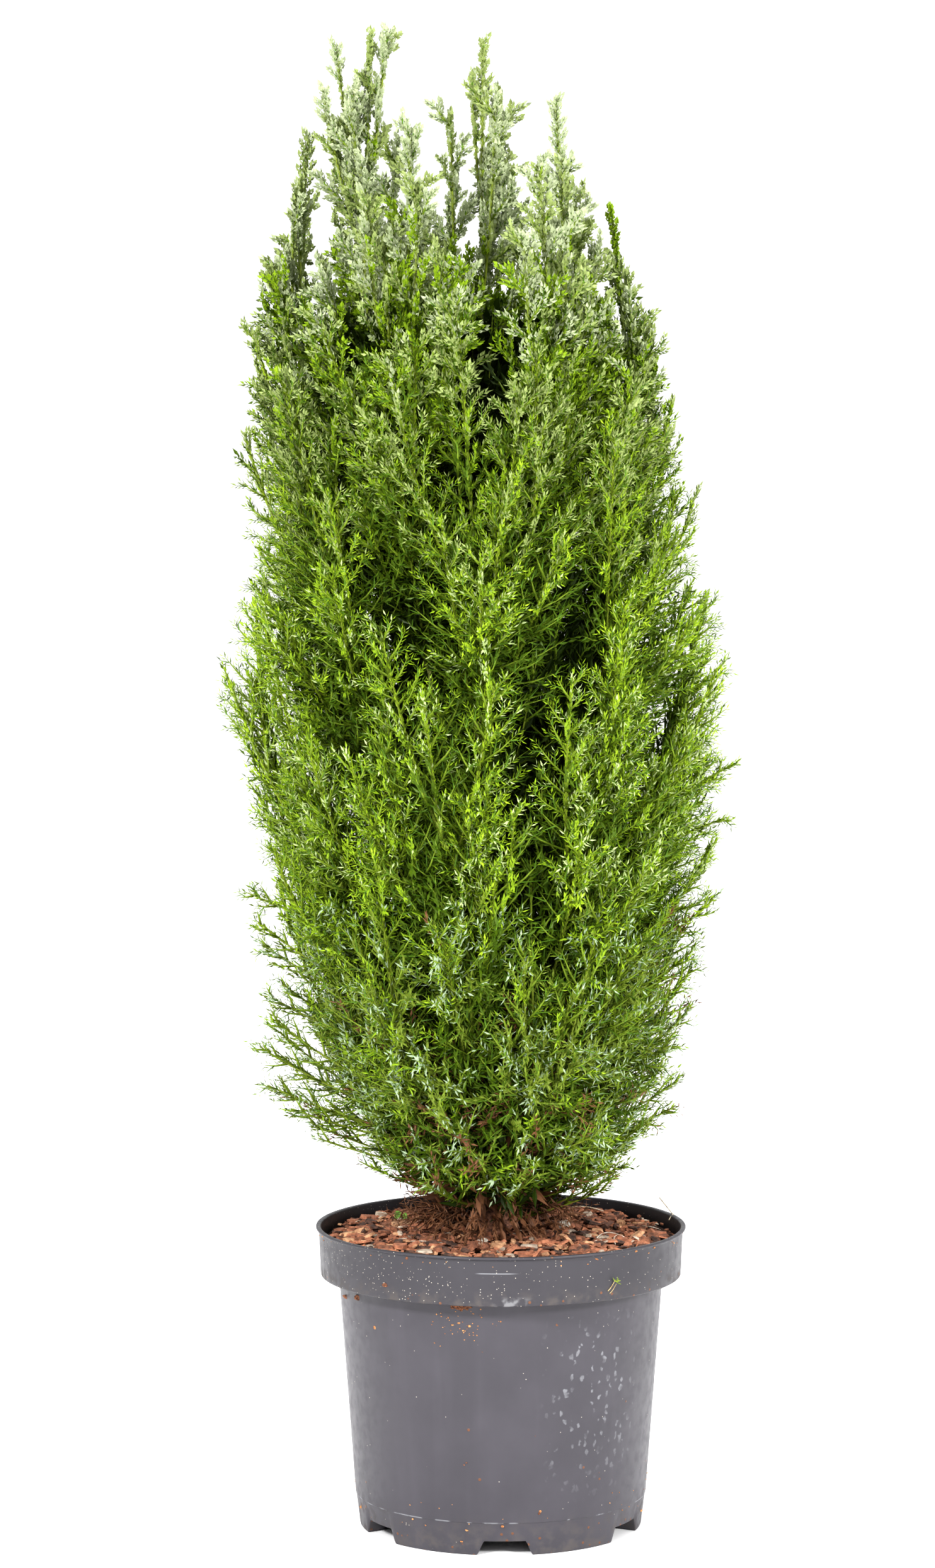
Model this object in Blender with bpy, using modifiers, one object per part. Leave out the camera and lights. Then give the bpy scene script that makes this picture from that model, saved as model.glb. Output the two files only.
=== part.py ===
"""A potted Lawson cypress: a young, bushy conifer of upright feathery plumes in a round nursery pot.

Metres, +Z up. The origin is on the ground, under the middle of the whole plant, and the pot's axis
stands a little to +X of it, because the crown leans to -X. The viewer looks along +Y.

The trunk runs up the middle. Boughs leave it one above the other and rise to the masses of foliage.
A mass is one stem with upright shoots, all of them three-sided and twisting as they rise. Each side
is drawn out, ring by ring, into a slim blade that stands for a spray of needles, and the stem and
its shoots are fused into one solid. Every mass keeps to its own space.
"""
import math
import random

import bmesh
import bpy
import numpy as np
from mathutils import Matrix, Vector
from mathutils.bvhtree import BVHTree

GAP = 0.0003
SEED = 11
WELD_DISTANCE = 0.00001
TURN_MERGE = 0.00005

# The pot: a thin wall with a deep collar, a raised floor and six feet
POT_X = 0.016
POT_STEPS = 40
RIM_RADIUS = 0.115
RIM_HEIGHT = 0.1876
LIP_DROP = 0.0016
LIP_ROUND = 0.0007
COLLAR_TOP_RADIUS = 0.1132
COLLAR_FOOT_RADIUS = 0.1121
COLLAR_FOOT_Z = 0.1572
COLLAR_ROUND = 0.0010
BODY_TOP_RADIUS = 0.1008
SEAM_RADIUS = 0.0906
SEAM_Z = 0.0206
SEAM_STEP = 0.0004
FOOT_RADIUS = 0.0876
FOOT_ROUND = 0.0008
FOOT_INNER_RADIUS = 0.0706
WALL = 0.0012
FLOOR_UNDERSIDE_Z = 0.0090
FLOOR_TOP_Z = 0.0108
NOTCH_COUNT = 6
NOTCH_FIRST_AZIMUTH = math.radians(-88.7)
NOTCH_TOP_WIDTH = 0.025
NOTCH_FOOT_WIDTH = 0.034
NOTCH_HEIGHT = 0.0086
NOTCH_CORNER = 0.0024
NOTCH_OVERRUN = 0.003
DRAIN_SIDES = 12
DRAIN_RADIUS = 0.006
DRAIN_RING_RADIUS = 0.045

# The soil under its bark mulch: level round the trunk, lower at the wall
SOIL_TOP_Z = 0.1820
SOIL_LEVEL_RADIUS = 0.030
SOIL_SHOULDER_RADIUS = 0.080
SOIL_SHOULDER_Z = 0.1798
SOIL_WALL_Z = 0.1762

# The crown: how far it reaches from its own axis at each height, and how the axis leans
CROWN_FOOT_Z = 0.22
CROWN_WIDEST_Z = 0.52
CROWN_TOP_Z = 0.95
CROWN_REACH = 0.155
CROWN_FOOT_DRAW_IN = 0.070
CROWN_LOW_POWER = 3.0
CROWN_HIGH_POWER = 2.5
CROWN_SHIFT = -0.008
CROWN_LEAN = -0.036

# The trunk: its axis is measured from the pot's
TRUNK_TOP_Z = 0.70
TRUNK_FOOT_OFFSET = -0.004
TRUNK_TOP_OFFSET = -0.012
TRUNK_BOW = -0.018
TRUNK_FLARE_RADIUS = 0.0150
TRUNK_FOOT_RADIUS = 0.0092
TRUNK_TOP_RADIUS = 0.0021
TRUNK_FLARE_HEIGHT = 0.016
TRUNK_FLARE_RINGS = (0.0, 0.004, 0.012, 0.028)
TRUNK_SHAFT_Z = 0.232
TRUNK_SHAFT_RINGS = 7

# Boughs: thinner than the trunk where they leave it, bent out first and then up
BOUGH_RINGS = 5
BOUGH_SHARE_OF_TRUNK = 0.62
BOUGH_TIP_RADIUS = 0.0025
BOUGH_BEND_OUT = 0.62
BOUGH_BEND_UP = 0.34
TAPER_POWER = 0.8

# The three-sided stems and shoots that carry the sprays
STEM_FOOT_RADIUS = 0.0025
STEM_TIP_RADIUS = 0.0012
STEM_RINGS = 12
STEM_BARE_RINGS = 2
STEM_BEND = 0.42
STEM_SQUARE_FOOT = 0.003
SHOOT_FOOT_RADIUS = 0.0021
SHOOT_RINGS = 7
SHOOT_BARE_RINGS = 1
SHOOT_BEND_UP = 0.30
SHOOT_BEND_OUT = 0.75
SHOOT_SHARE_OF_WIDTH = 0.75
RING_TWIST = math.radians(38)

# How finely a stem's curve is sampled for its nearest point, its direction and the space it owns
NEAREST_STEPS = 40
DIRECTION_STEP = 0.04
SPACE_STEPS = 10

# Sprays: slim blades that stand out of a stem's sides and get shorter towards its tip
SPRAY_LENGTH = 0.060
SPRAY_TIP_SHARE = 0.35
SPRAY_MIN_LENGTH = 0.014
SPRAY_LENGTH_SPREAD = 0.15
SPRAY_SHORTER = 0.85
SPRAY_FOOT_ANGLE = math.radians(46)
SPRAY_TIP_ANGLE = math.radians(26)
SPRAY_ANGLE_SPREAD = 0.10
TERMINAL_SPRAY = 0.020
ROOM_BESIDE = 1.2
ROOM_BEYOND = 0.001
REACH_ALLOWANCE = 0.003

# Side shoots of a mass: where each leaves the stem and how far up the stem it ends level with it,
# as shares of the stem, its direction from straight out of the crown, and its spread as a share of
# the mass's half width
PAIR = (
    dict(leave=0.16, level=0.72, turn=76, spread=0.82),
    dict(leave=0.30, level=0.86, turn=-72, spread=0.78),
)
OUTER = dict(leave=0.08, level=0.42, turn=4, spread=1.00)

# Tiers of masses round the trunk: how many, the height of their tips and how far every other one is
# lower, the heights where the limbs leave the trunk, the bough's own end as a share of the crown's
# reach and as a height, the mass's half width, the azimuth of the first, and the side shoots. A tier
# with no bough grows straight from the trunk.
TIERS = (
    dict(name="low", count=6, tip_z=0.375, stagger=0.050, leave=(0.196, 0.222), bough=None,
         width=0.066, first=20, shoots=PAIR),
    dict(name="middle", count=7, tip_z=0.575, stagger=0.050, leave=(0.236, 0.290), bough=(0.42, 0.335),
         width=0.062, first=0, shoots=(*PAIR, OUTER)),
    dict(name="upper", count=6, tip_z=0.755, stagger=0.045, leave=(0.310, 0.372), bough=(0.48, 0.510),
         width=0.056, first=30, shoots=(*PAIR, OUTER)),
)

# Neighbours in a tier leave the trunk this many places apart in height
LEAVE_STEP = 3

# Leaders: their tips from the pot's axis on the ground, and the height where each leaves the trunk
LEADERS = (
    ("left", (-0.082, -0.005, 0.918), 0.398),
    ("right", (0.033, -0.015, 0.877), 0.422),
    ("far_left", (-0.119, 0.010, 0.857), 0.386),
    ("front_left", (-0.054, -0.055, 0.855), 0.434),
    ("right_shoulder", (0.068, 0.015, 0.813), 0.410),
    ("front_right", (0.022, -0.060, 0.832), 0.446),
    ("back_left", (-0.065, 0.065, 0.860), 0.458),
    ("back_right", (0.005, 0.060, 0.840), 0.470),
)
MIDDLE_LEADER_TIP = (-0.011, 0.000, 0.913)
LEADER_LENGTH = 0.25
LEADER_WIDTH = 0.040
LEADER_FOOT_IN = 0.10

COLOURS = {
    "pot": ((0.060, 0.058, 0.066), 0.42),
    "soil": ((0.075, 0.032, 0.018), 0.95),
    "trunk": ((0.140, 0.062, 0.034), 0.85),
    "bough": ((0.170, 0.085, 0.040), 0.80),
    "foliage": ((0.060, 0.180, 0.022), 0.60),
}


def clear_scene():
    """Empty the scene and make the part's collection and the one for its cutters."""
    for item in list(bpy.data.objects):
        bpy.data.objects.remove(item, do_unlink=True)
    part = bpy.data.collections.new("potted_lawson_cypress")
    cutters = bpy.data.collections.new("cutters")
    for group in (part, cutters):
        bpy.context.scene.collection.children.link(group)
    return part, cutters


def finish_material(name, kind):
    """A Principled material of one of the plant's or the pot's finishes."""
    colour, roughness = COLOURS[kind]
    material = bpy.data.materials.new(name)
    material.use_nodes = True
    shader = material.node_tree.nodes["Principled BSDF"]
    shader.inputs["Base Color"].default_value = (*colour, 1.0)
    shader.inputs["Roughness"].default_value = roughness
    shader.inputs["Metallic"].default_value = 0.0
    return material


def add_object(name, data, group):
    """A new object that holds the given data, in the given collection."""
    item = bpy.data.objects.new(name, data)
    group.objects.link(item)
    return item


def make_guide(item):
    """Mark an object as a cutter or a guide, which isn't part of the plant."""
    item.hide_render = True
    item.display_type = 'WIRE'


def evaluated_mesh(item):
    """A new mesh of the object as its modifiers leave it."""
    graph = bpy.context.evaluated_depsgraph_get()
    return bpy.data.meshes.new_from_object(item.evaluated_get(graph))


def weld(mesh):
    """Merge the mesh's doubled points and turn its faces outwards."""
    shape = bmesh.new()
    shape.from_mesh(mesh)
    bmesh.ops.remove_doubles(shape, verts=shape.verts, dist=WELD_DISTANCE)
    bmesh.ops.recalc_face_normals(shape, faces=shape.faces)
    shape.to_mesh(mesh)
    shape.free()


def curve_to_mesh(item, group):
    """Swap a curve object for a mesh object of the same name and place."""
    name = item.name
    place = item.matrix_world.copy()
    mesh = evaluated_mesh(item)
    weld(mesh)
    curve = item.data
    bpy.data.objects.remove(item, do_unlink=True)
    bpy.data.curves.remove(curve)
    solid = add_object(name, mesh, group)
    solid.matrix_world = place
    return solid


def turned(name, profile, group):
    """A solid turned about the pot's axis from a profile of (radius, height) points."""
    mesh = bpy.data.meshes.new(name)
    points = [(radius, 0.0, height) for radius, height in profile]
    edges = [(i, i + 1) for i in range(len(points) - 1)]
    mesh.from_pydata(points, edges, [])
    item = add_object(name, mesh, group)
    item.location.x = POT_X
    screw = item.modifiers.new("turn", 'SCREW')
    screw.steps = POT_STEPS
    screw.render_steps = POT_STEPS
    screw.use_merge_vertices = True
    screw.merge_threshold = TURN_MERGE
    return item


def wall_radius(height, inset):
    """The radius of the pot's outside at a height below the collar, less an inset."""
    share = (height - SEAM_Z) / (COLLAR_FOOT_Z - SEAM_Z)
    return SEAM_RADIUS + (BODY_TOP_RADIUS - SEAM_RADIUS) * share - inset


def pot_profile():
    """Up the inside from the floor, over the lip, down the outside and under the raised floor."""
    step_z = COLLAR_FOOT_Z + WALL
    lip_foot_z = RIM_HEIGHT - LIP_DROP
    collar_inside = COLLAR_TOP_RADIUS - WALL
    return [
        (0.0, FLOOR_TOP_Z),
        (wall_radius(FLOOR_TOP_Z, WALL), FLOOR_TOP_Z),
        (wall_radius(step_z, WALL), step_z),
        (COLLAR_FOOT_RADIUS - WALL, step_z + COLLAR_ROUND),
        (collar_inside, RIM_HEIGHT - LIP_ROUND),
        (collar_inside + LIP_ROUND, RIM_HEIGHT),
        (RIM_RADIUS - LIP_ROUND, RIM_HEIGHT),
        (RIM_RADIUS, RIM_HEIGHT - 0.5 * LIP_DROP),
        (RIM_RADIUS - LIP_ROUND, lip_foot_z),
        (COLLAR_TOP_RADIUS, lip_foot_z - LIP_ROUND),
        (COLLAR_FOOT_RADIUS, COLLAR_FOOT_Z + COLLAR_ROUND),
        (COLLAR_FOOT_RADIUS - COLLAR_ROUND, COLLAR_FOOT_Z),
        (BODY_TOP_RADIUS, COLLAR_FOOT_Z),
        (SEAM_RADIUS, SEAM_Z),
        (SEAM_RADIUS - SEAM_STEP, SEAM_Z - SEAM_STEP),
        (FOOT_RADIUS + FOOT_ROUND, FOOT_ROUND),
        (FOOT_RADIUS, 0.0),
        (FOOT_INNER_RADIUS, 0.0),
        (FOOT_INNER_RADIUS, FLOOR_UNDERSIDE_Z),
        (0.0, FLOOR_UNDERSIDE_Z),
    ]


def arc(centre, radius, start, end, pieces):
    """Points along an arc, both ends included, with the angles in degrees."""
    angles = [math.radians(start + (end - start) * i / pieces) for i in range(pieces + 1)]
    return [(centre[0] + radius * math.cos(a), centre[1] + radius * math.sin(a)) for a in angles]


def notch_outline():
    """A notch between two feet: rounded at its top corners and flared where it meets the ground."""
    half_top = 0.5 * NOTCH_TOP_WIDTH
    half_foot = 0.5 * NOTCH_FOOT_WIDTH
    lean = math.degrees(math.atan2(half_foot - half_top, NOTCH_HEIGHT))
    top = arc((half_top - NOTCH_CORNER, NOTCH_HEIGHT - NOTCH_CORNER), NOTCH_CORNER, 90, lean, 2)
    foot = arc((half_foot + NOTCH_CORNER, NOTCH_CORNER), NOTCH_CORNER, 180 + lean, 270, 2)
    right = top + foot + [(half_foot + NOTCH_CORNER, -NOTCH_OVERRUN)]
    left = [(-x, y) for x, y in reversed(right)]
    return right + left


def cut_with(item, cutter):
    """Cut the cutter's shape out of the item, as a live modifier."""
    cut = item.modifiers.new("cut_" + cutter.name, 'BOOLEAN')
    cut.operation = 'DIFFERENCE'
    cut.solver = 'EXACT'
    cut.object = cutter


def outwards(azimuth, distance):
    """A horizontal step from an axis."""
    return Vector((math.cos(azimuth), math.sin(azimuth), 0.0)) * distance


def notch_azimuths():
    """The directions of the notches from the pot's axis."""
    return [NOTCH_FIRST_AZIMUTH + math.tau * number / NOTCH_COUNT for number in range(NOTCH_COUNT)]


def build_notches(pot, cutters):
    """Six notches through the foot ring, each an outline drawn on a plane and pushed outwards."""
    outline = notch_outline()
    depth = RIM_RADIUS - FOOT_INNER_RADIUS + 2 * NOTCH_OVERRUN
    upright = Matrix.Rotation(0.5 * math.pi, 4, 'X')
    for number, azimuth in enumerate(notch_azimuths()):
        curve = bpy.data.curves.new(f"notch_{number}", 'CURVE')
        curve.dimensions = '2D'
        curve.fill_mode = 'BOTH'
        curve.extrude = 0.5 * depth
        spline = curve.splines.new('POLY')
        spline.points.add(len(outline) - 1)
        for point, (x, y) in zip(spline.points, outline):
            point.co = (x, y, 0.0, 1.0)
        spline.use_cyclic_u = True
        cutter = add_object(curve.name, curve, cutters)
        centre = outwards(azimuth, FOOT_INNER_RADIUS - NOTCH_OVERRUN + 0.5 * depth)
        facing = Matrix.Rotation(azimuth + 0.5 * math.pi, 4, 'Z')
        cutter.matrix_world = Matrix.Translation(centre + Vector((POT_X, 0, 0))) @ facing @ upright
        bpy.context.view_layer.update()
        cutter = curve_to_mesh(cutter, cutters)
        make_guide(cutter)
        cut_with(pot, cutter)


def build_drains(pot, cutters):
    """Round drain holes in the floor, one in line with each notch."""
    for number, azimuth in enumerate(notch_azimuths()):
        shape = bmesh.new()
        bmesh.ops.create_cone(shape, cap_ends=True, segments=DRAIN_SIDES, radius1=DRAIN_RADIUS,
                              radius2=DRAIN_RADIUS, depth=FLOOR_TOP_Z)
        mesh = bpy.data.meshes.new(f"drain_{number}")
        shape.to_mesh(mesh)
        shape.free()
        drain = add_object(mesh.name, mesh, cutters)
        drain.location = outwards(azimuth, DRAIN_RING_RADIUS) + Vector((POT_X, 0, FLOOR_UNDERSIDE_Z))
        make_guide(drain)
        cut_with(pot, drain)


def build_pot(part, cutters):
    """The moulded pot with its six feet."""
    pot = turned("pot", pot_profile(), part)
    build_notches(pot, cutters)
    build_drains(pot, cutters)
    pot.data.materials.append(finish_material("pot_plastic", "pot"))


def build_soil(part):
    """The root ball that fills the pot, with its mulched surface."""
    inside = WALL + GAP
    step_z = COLLAR_FOOT_Z + inside
    wall_share = (SOIL_WALL_Z - COLLAR_FOOT_Z) / (RIM_HEIGHT - COLLAR_FOOT_Z)
    edge = COLLAR_FOOT_RADIUS + (COLLAR_TOP_RADIUS - COLLAR_FOOT_RADIUS) * wall_share - inside - GAP
    profile = [
        (0.0, SOIL_TOP_Z),
        (SOIL_LEVEL_RADIUS, SOIL_TOP_Z),
        (SOIL_SHOULDER_RADIUS, SOIL_SHOULDER_Z),
        (edge, SOIL_WALL_Z),
        (COLLAR_FOOT_RADIUS - inside, step_z + COLLAR_ROUND),
        (wall_radius(step_z, inside), step_z),
        (wall_radius(FLOOR_TOP_Z, inside), FLOOR_TOP_Z + GAP),
        (0.0, FLOOR_TOP_Z + GAP),
    ]
    soil = turned("soil", profile, part)
    soil.data.materials.append(finish_material("bark_mulch", "soil"))


def crown_axis(height):
    """The crown's middle at a height: it leans to -X, more towards the top."""
    rise = (height - SOIL_TOP_Z) / (CROWN_TOP_Z - SOIL_TOP_Z)
    return Vector((POT_X + CROWN_SHIFT + CROWN_LEAN * rise ** 2, 0.0, height))


def crown_reach(height):
    """How far the furthest tips stand from the crown's axis at a height."""
    if height < CROWN_WIDEST_Z:
        share = (CROWN_WIDEST_Z - height) / (CROWN_WIDEST_Z - CROWN_FOOT_Z)
        return CROWN_REACH - CROWN_FOOT_DRAW_IN * share ** CROWN_LOW_POWER
    share = min((height - CROWN_WIDEST_Z) / (CROWN_TOP_Z - CROWN_WIDEST_Z), 1.0)
    return CROWN_REACH * (1.0 - share ** CROWN_HIGH_POWER)


def trunk_point(height):
    """The trunk's axis at a height: a slow bow to -X that comes back towards the top."""
    rise = (height - SOIL_TOP_Z) / (TRUNK_TOP_Z - SOIL_TOP_Z)
    straight = TRUNK_FOOT_OFFSET + (TRUNK_TOP_OFFSET - TRUNK_FOOT_OFFSET) * rise
    bow = TRUNK_BOW * math.sin(math.pi * min(max(rise, 0.0), 1.0)) ** 2
    return Vector((POT_X + straight + bow, 0.0, height))


def trunk_radius(height):
    """A long taper above a short root flare."""
    rise = (height - SOIL_TOP_Z) / (TRUNK_TOP_Z - SOIL_TOP_Z)
    taper = TRUNK_FOOT_RADIUS + (TRUNK_TOP_RADIUS - TRUNK_FOOT_RADIUS) * rise ** TAPER_POWER
    flare = (TRUNK_FLARE_RADIUS - TRUNK_FOOT_RADIUS) * math.exp(-(height - SOIL_TOP_Z) / TRUNK_FLARE_HEIGHT)
    return taper + flare


def bezier(start, control, end, share):
    """A point along a curve that leaves its start towards the control point."""
    return start.lerp(control, share).lerp(control.lerp(end, share), share)


def tube(name, points, radii, group, resolution=1, profile=None, twist=0.0):
    """A tapering limb along the points, with flat ends; the profile gives a three-sided one."""
    curve = bpy.data.curves.new(name, 'CURVE')
    curve.dimensions = '3D'
    curve.use_fill_caps = True
    if profile is None:
        curve.bevel_depth = 1.0
        curve.bevel_resolution = resolution
    else:
        curve.bevel_mode = 'OBJECT'
        curve.bevel_object = profile
    spline = curve.splines.new('POLY')
    spline.points.add(len(points) - 1)
    for number, (slot, point, radius) in enumerate(zip(spline.points, points, radii)):
        slot.co = (*point, 1.0)
        slot.radius = radius
        slot.tilt = twist * number
    item = add_object(name, curve, group)
    bpy.context.view_layer.update()
    return curve_to_mesh(item, group)


def build_trunk(part, cutters):
    """The trunk and a copy a gap thicker that limbs are cut back with, its tip and its direction."""
    foot = SOIL_TOP_Z + GAP
    heights = [foot + ring for ring in TRUNK_FLARE_RINGS]
    rise = (TRUNK_TOP_Z - TRUNK_SHAFT_Z) / (TRUNK_SHAFT_RINGS - 1)
    heights += [TRUNK_SHAFT_Z + rise * ring for ring in range(TRUNK_SHAFT_RINGS)]
    points = [trunk_point(z) for z in heights]
    points[1].x = points[0].x
    radii = [trunk_radius(z) for z in heights]
    trunk = tube("trunk", points, radii, part, resolution=2)
    trunk.data.materials.append(finish_material("trunk_bark", "trunk"))
    clearance = tube("trunk_clearance", points, [r + GAP for r in radii], cutters, resolution=2)
    make_guide(clearance)
    return trunk, clearance, points[-1], (points[-1] - points[-2]).normalized()


def apply_cut(item, cutter):
    """Cut the item back from the cutter for good."""
    cut_with(item, cutter)
    bpy.context.view_layer.update()
    mesh = evaluated_mesh(item)
    item.modifiers.clear()
    item.data = mesh


def triangle_profile(cutters):
    """The three-sided cross-section of a stem or shoot, with a radius of one."""
    curve = bpy.data.curves.new("twig_section", 'CURVE')
    curve.dimensions = '2D'
    spline = curve.splines.new('POLY')
    spline.points.add(2)
    for number, point in enumerate(spline.points):
        angle = math.tau * number / 3
        point.co = (math.cos(angle), math.sin(angle), 0.0, 1.0)
    spline.use_cyclic_u = True
    item = add_object("twig_section", curve, cutters)
    make_guide(item)
    return item


class Shoot:
    """A stem or a shoot: a curve from its foot to its tip that carries sprays all round."""

    def __init__(self, start, control, end, width, rings, bare_rings, foot_radius):
        self.start = start
        self.control = control
        self.end = end
        self.width = width
        self.rings = rings
        self.bare_rings = bare_rings
        self.foot_radius = foot_radius

    def point(self, share):
        """A point on the curve, from 0 at its foot to 1 at its tip."""
        return bezier(self.start, self.control, self.end, share)

    def line(self):
        """The rings' centres, short of the tip by the length of the terminal spray."""
        last = 1.0 - TERMINAL_SPRAY / (self.end - self.start).length
        return [self.point(last * i / self.rings) for i in range(self.rings + 1)]

    def radii(self):
        """The taper from the foot to the tip."""
        fall = STEM_TIP_RADIUS - self.foot_radius
        return [self.foot_radius + fall * i / self.rings for i in range(self.rings + 1)]

    def share_at(self, place):
        """The share of the curve that is nearest to a place beside it."""
        shares = [i / NEAREST_STEPS for i in range(NEAREST_STEPS + 1)]
        return min(shares, key=lambda share: (self.point(share) - place).length)

    def forward(self, share):
        """The direction of growth at a share of the curve."""
        ahead = self.point(min(share + DIRECTION_STEP, 1.0))
        behind = self.point(max(share - DIRECTION_STEP, 0.0))
        return (ahead - behind).normalized()

    def samples(self):
        """Points along the curve, which mark the space round it as its own."""
        return np.array([self.point(i / SPACE_STEPS) for i in range(SPACE_STEPS + 1)])


class Mass:
    """One mass of foliage: a stem, and the upright shoots that leave it."""

    def __init__(self, name, start, along, tip, width, shoots, on_trunk):
        self.name = name
        self.on_trunk = on_trunk
        self.along = along
        control = start + along * STEM_BEND * (tip - start).length
        self.stem = Shoot(start, control, tip, width, STEM_RINGS, STEM_BARE_RINGS, STEM_FOOT_RADIUS)
        self.shoots = [self.side_shoot(**shoot) for shoot in shoots]

    def side_shoot(self, leave, level, turn, spread):
        """A shoot that leaves the stem, spreads to one side and turns up beside it."""
        out = self.stem.end - crown_axis(self.stem.end.z)
        side = outwards(math.atan2(out.y, out.x) + math.radians(turn), self.stem.width * spread)
        end = within_crown(self.stem.point(level) + side)
        bend = self.stem.point(leave + SHOOT_BEND_UP * (level - leave)) + side * SHOOT_BEND_OUT
        return Shoot(self.stem.point(leave), bend, end, SHOOT_SHARE_OF_WIDTH * self.stem.width,
                     SHOOT_RINGS, SHOOT_BARE_RINGS, SHOOT_FOOT_RADIUS)


def within_crown(point):
    """The point, drawn in to the crown's reach where it stands further out."""
    axis = crown_axis(point.z)
    out = point - axis
    reach = crown_reach(point.z)
    return axis + out * (reach / out.length) if out.length > reach else point


def tier_masses():
    """Masses in rings round the trunk, with the feet and the ends of the boughs that carry them."""
    for tier in TIERS:
        low, high = tier["leave"]
        for number in range(tier["count"]):
            lower = tier["stagger"] * (number % 2)
            side = outwards(math.radians(tier["first"]) + math.tau * number / tier["count"], 1.0)
            order = (LEAVE_STEP * (number + 1)) % (tier["count"] + 1) - 1
            foot = trunk_point(low + (high - low) * order / (tier["count"] - 1))
            tip_z = tier["tip_z"] - lower
            tip = crown_axis(tip_z) + side * crown_reach(tip_z)
            end = None
            if tier["bough"] is not None:
                share, end_z = tier["bough"]
                end_z -= 0.5 * lower
                end = crown_axis(end_z) + side * crown_reach(end_z) * share
            yield f"{tier['name']}_{number + 1}", foot, end, tip, tier["width"], tier["shoots"]


def leader_masses():
    """The leaders at the top of the crown, each on a long bough of its own."""
    for name, offset, leave in LEADERS:
        tip = Vector(offset) + Vector((POT_X, 0, 0))
        foot = trunk_point(leave)
        end = tip.lerp(foot, LEADER_FOOT_IN)
        end.z = tip.z - LEADER_LENGTH
        yield "leader_" + name, foot, end, tip, LEADER_WIDTH, PAIR


def build_bough(name, foot, end, part, clearance):
    """One tapering bough from the trunk to the foot of its mass, and its direction there."""
    bend = foot.lerp(end, BOUGH_BEND_OUT)
    bend.z = foot.z + BOUGH_BEND_UP * (end.z - foot.z)
    shares = [i / BOUGH_RINGS for i in range(BOUGH_RINGS + 1)]
    points = [bezier(foot, bend, end, share) for share in shares]
    thick = BOUGH_SHARE_OF_TRUNK * trunk_radius(foot.z)
    radii = [thick + (BOUGH_TIP_RADIUS - thick) * share ** TAPER_POWER for share in shares]
    bough = tube("bough_" + name, points, radii, part)
    apply_cut(bough, clearance)
    bough.data.materials.append(finish_material(bough.name + "_bark", "bough"))
    return bough, (end - points[-2]).normalized()


def world_tree(item):
    """A search tree of the object's faces, as it stands in the world."""
    corners = [item.matrix_world @ v.co for v in item.data.vertices]
    return BVHTree.FromPolygons(corners, [tuple(p.vertices) for p in item.data.polygons])


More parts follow.
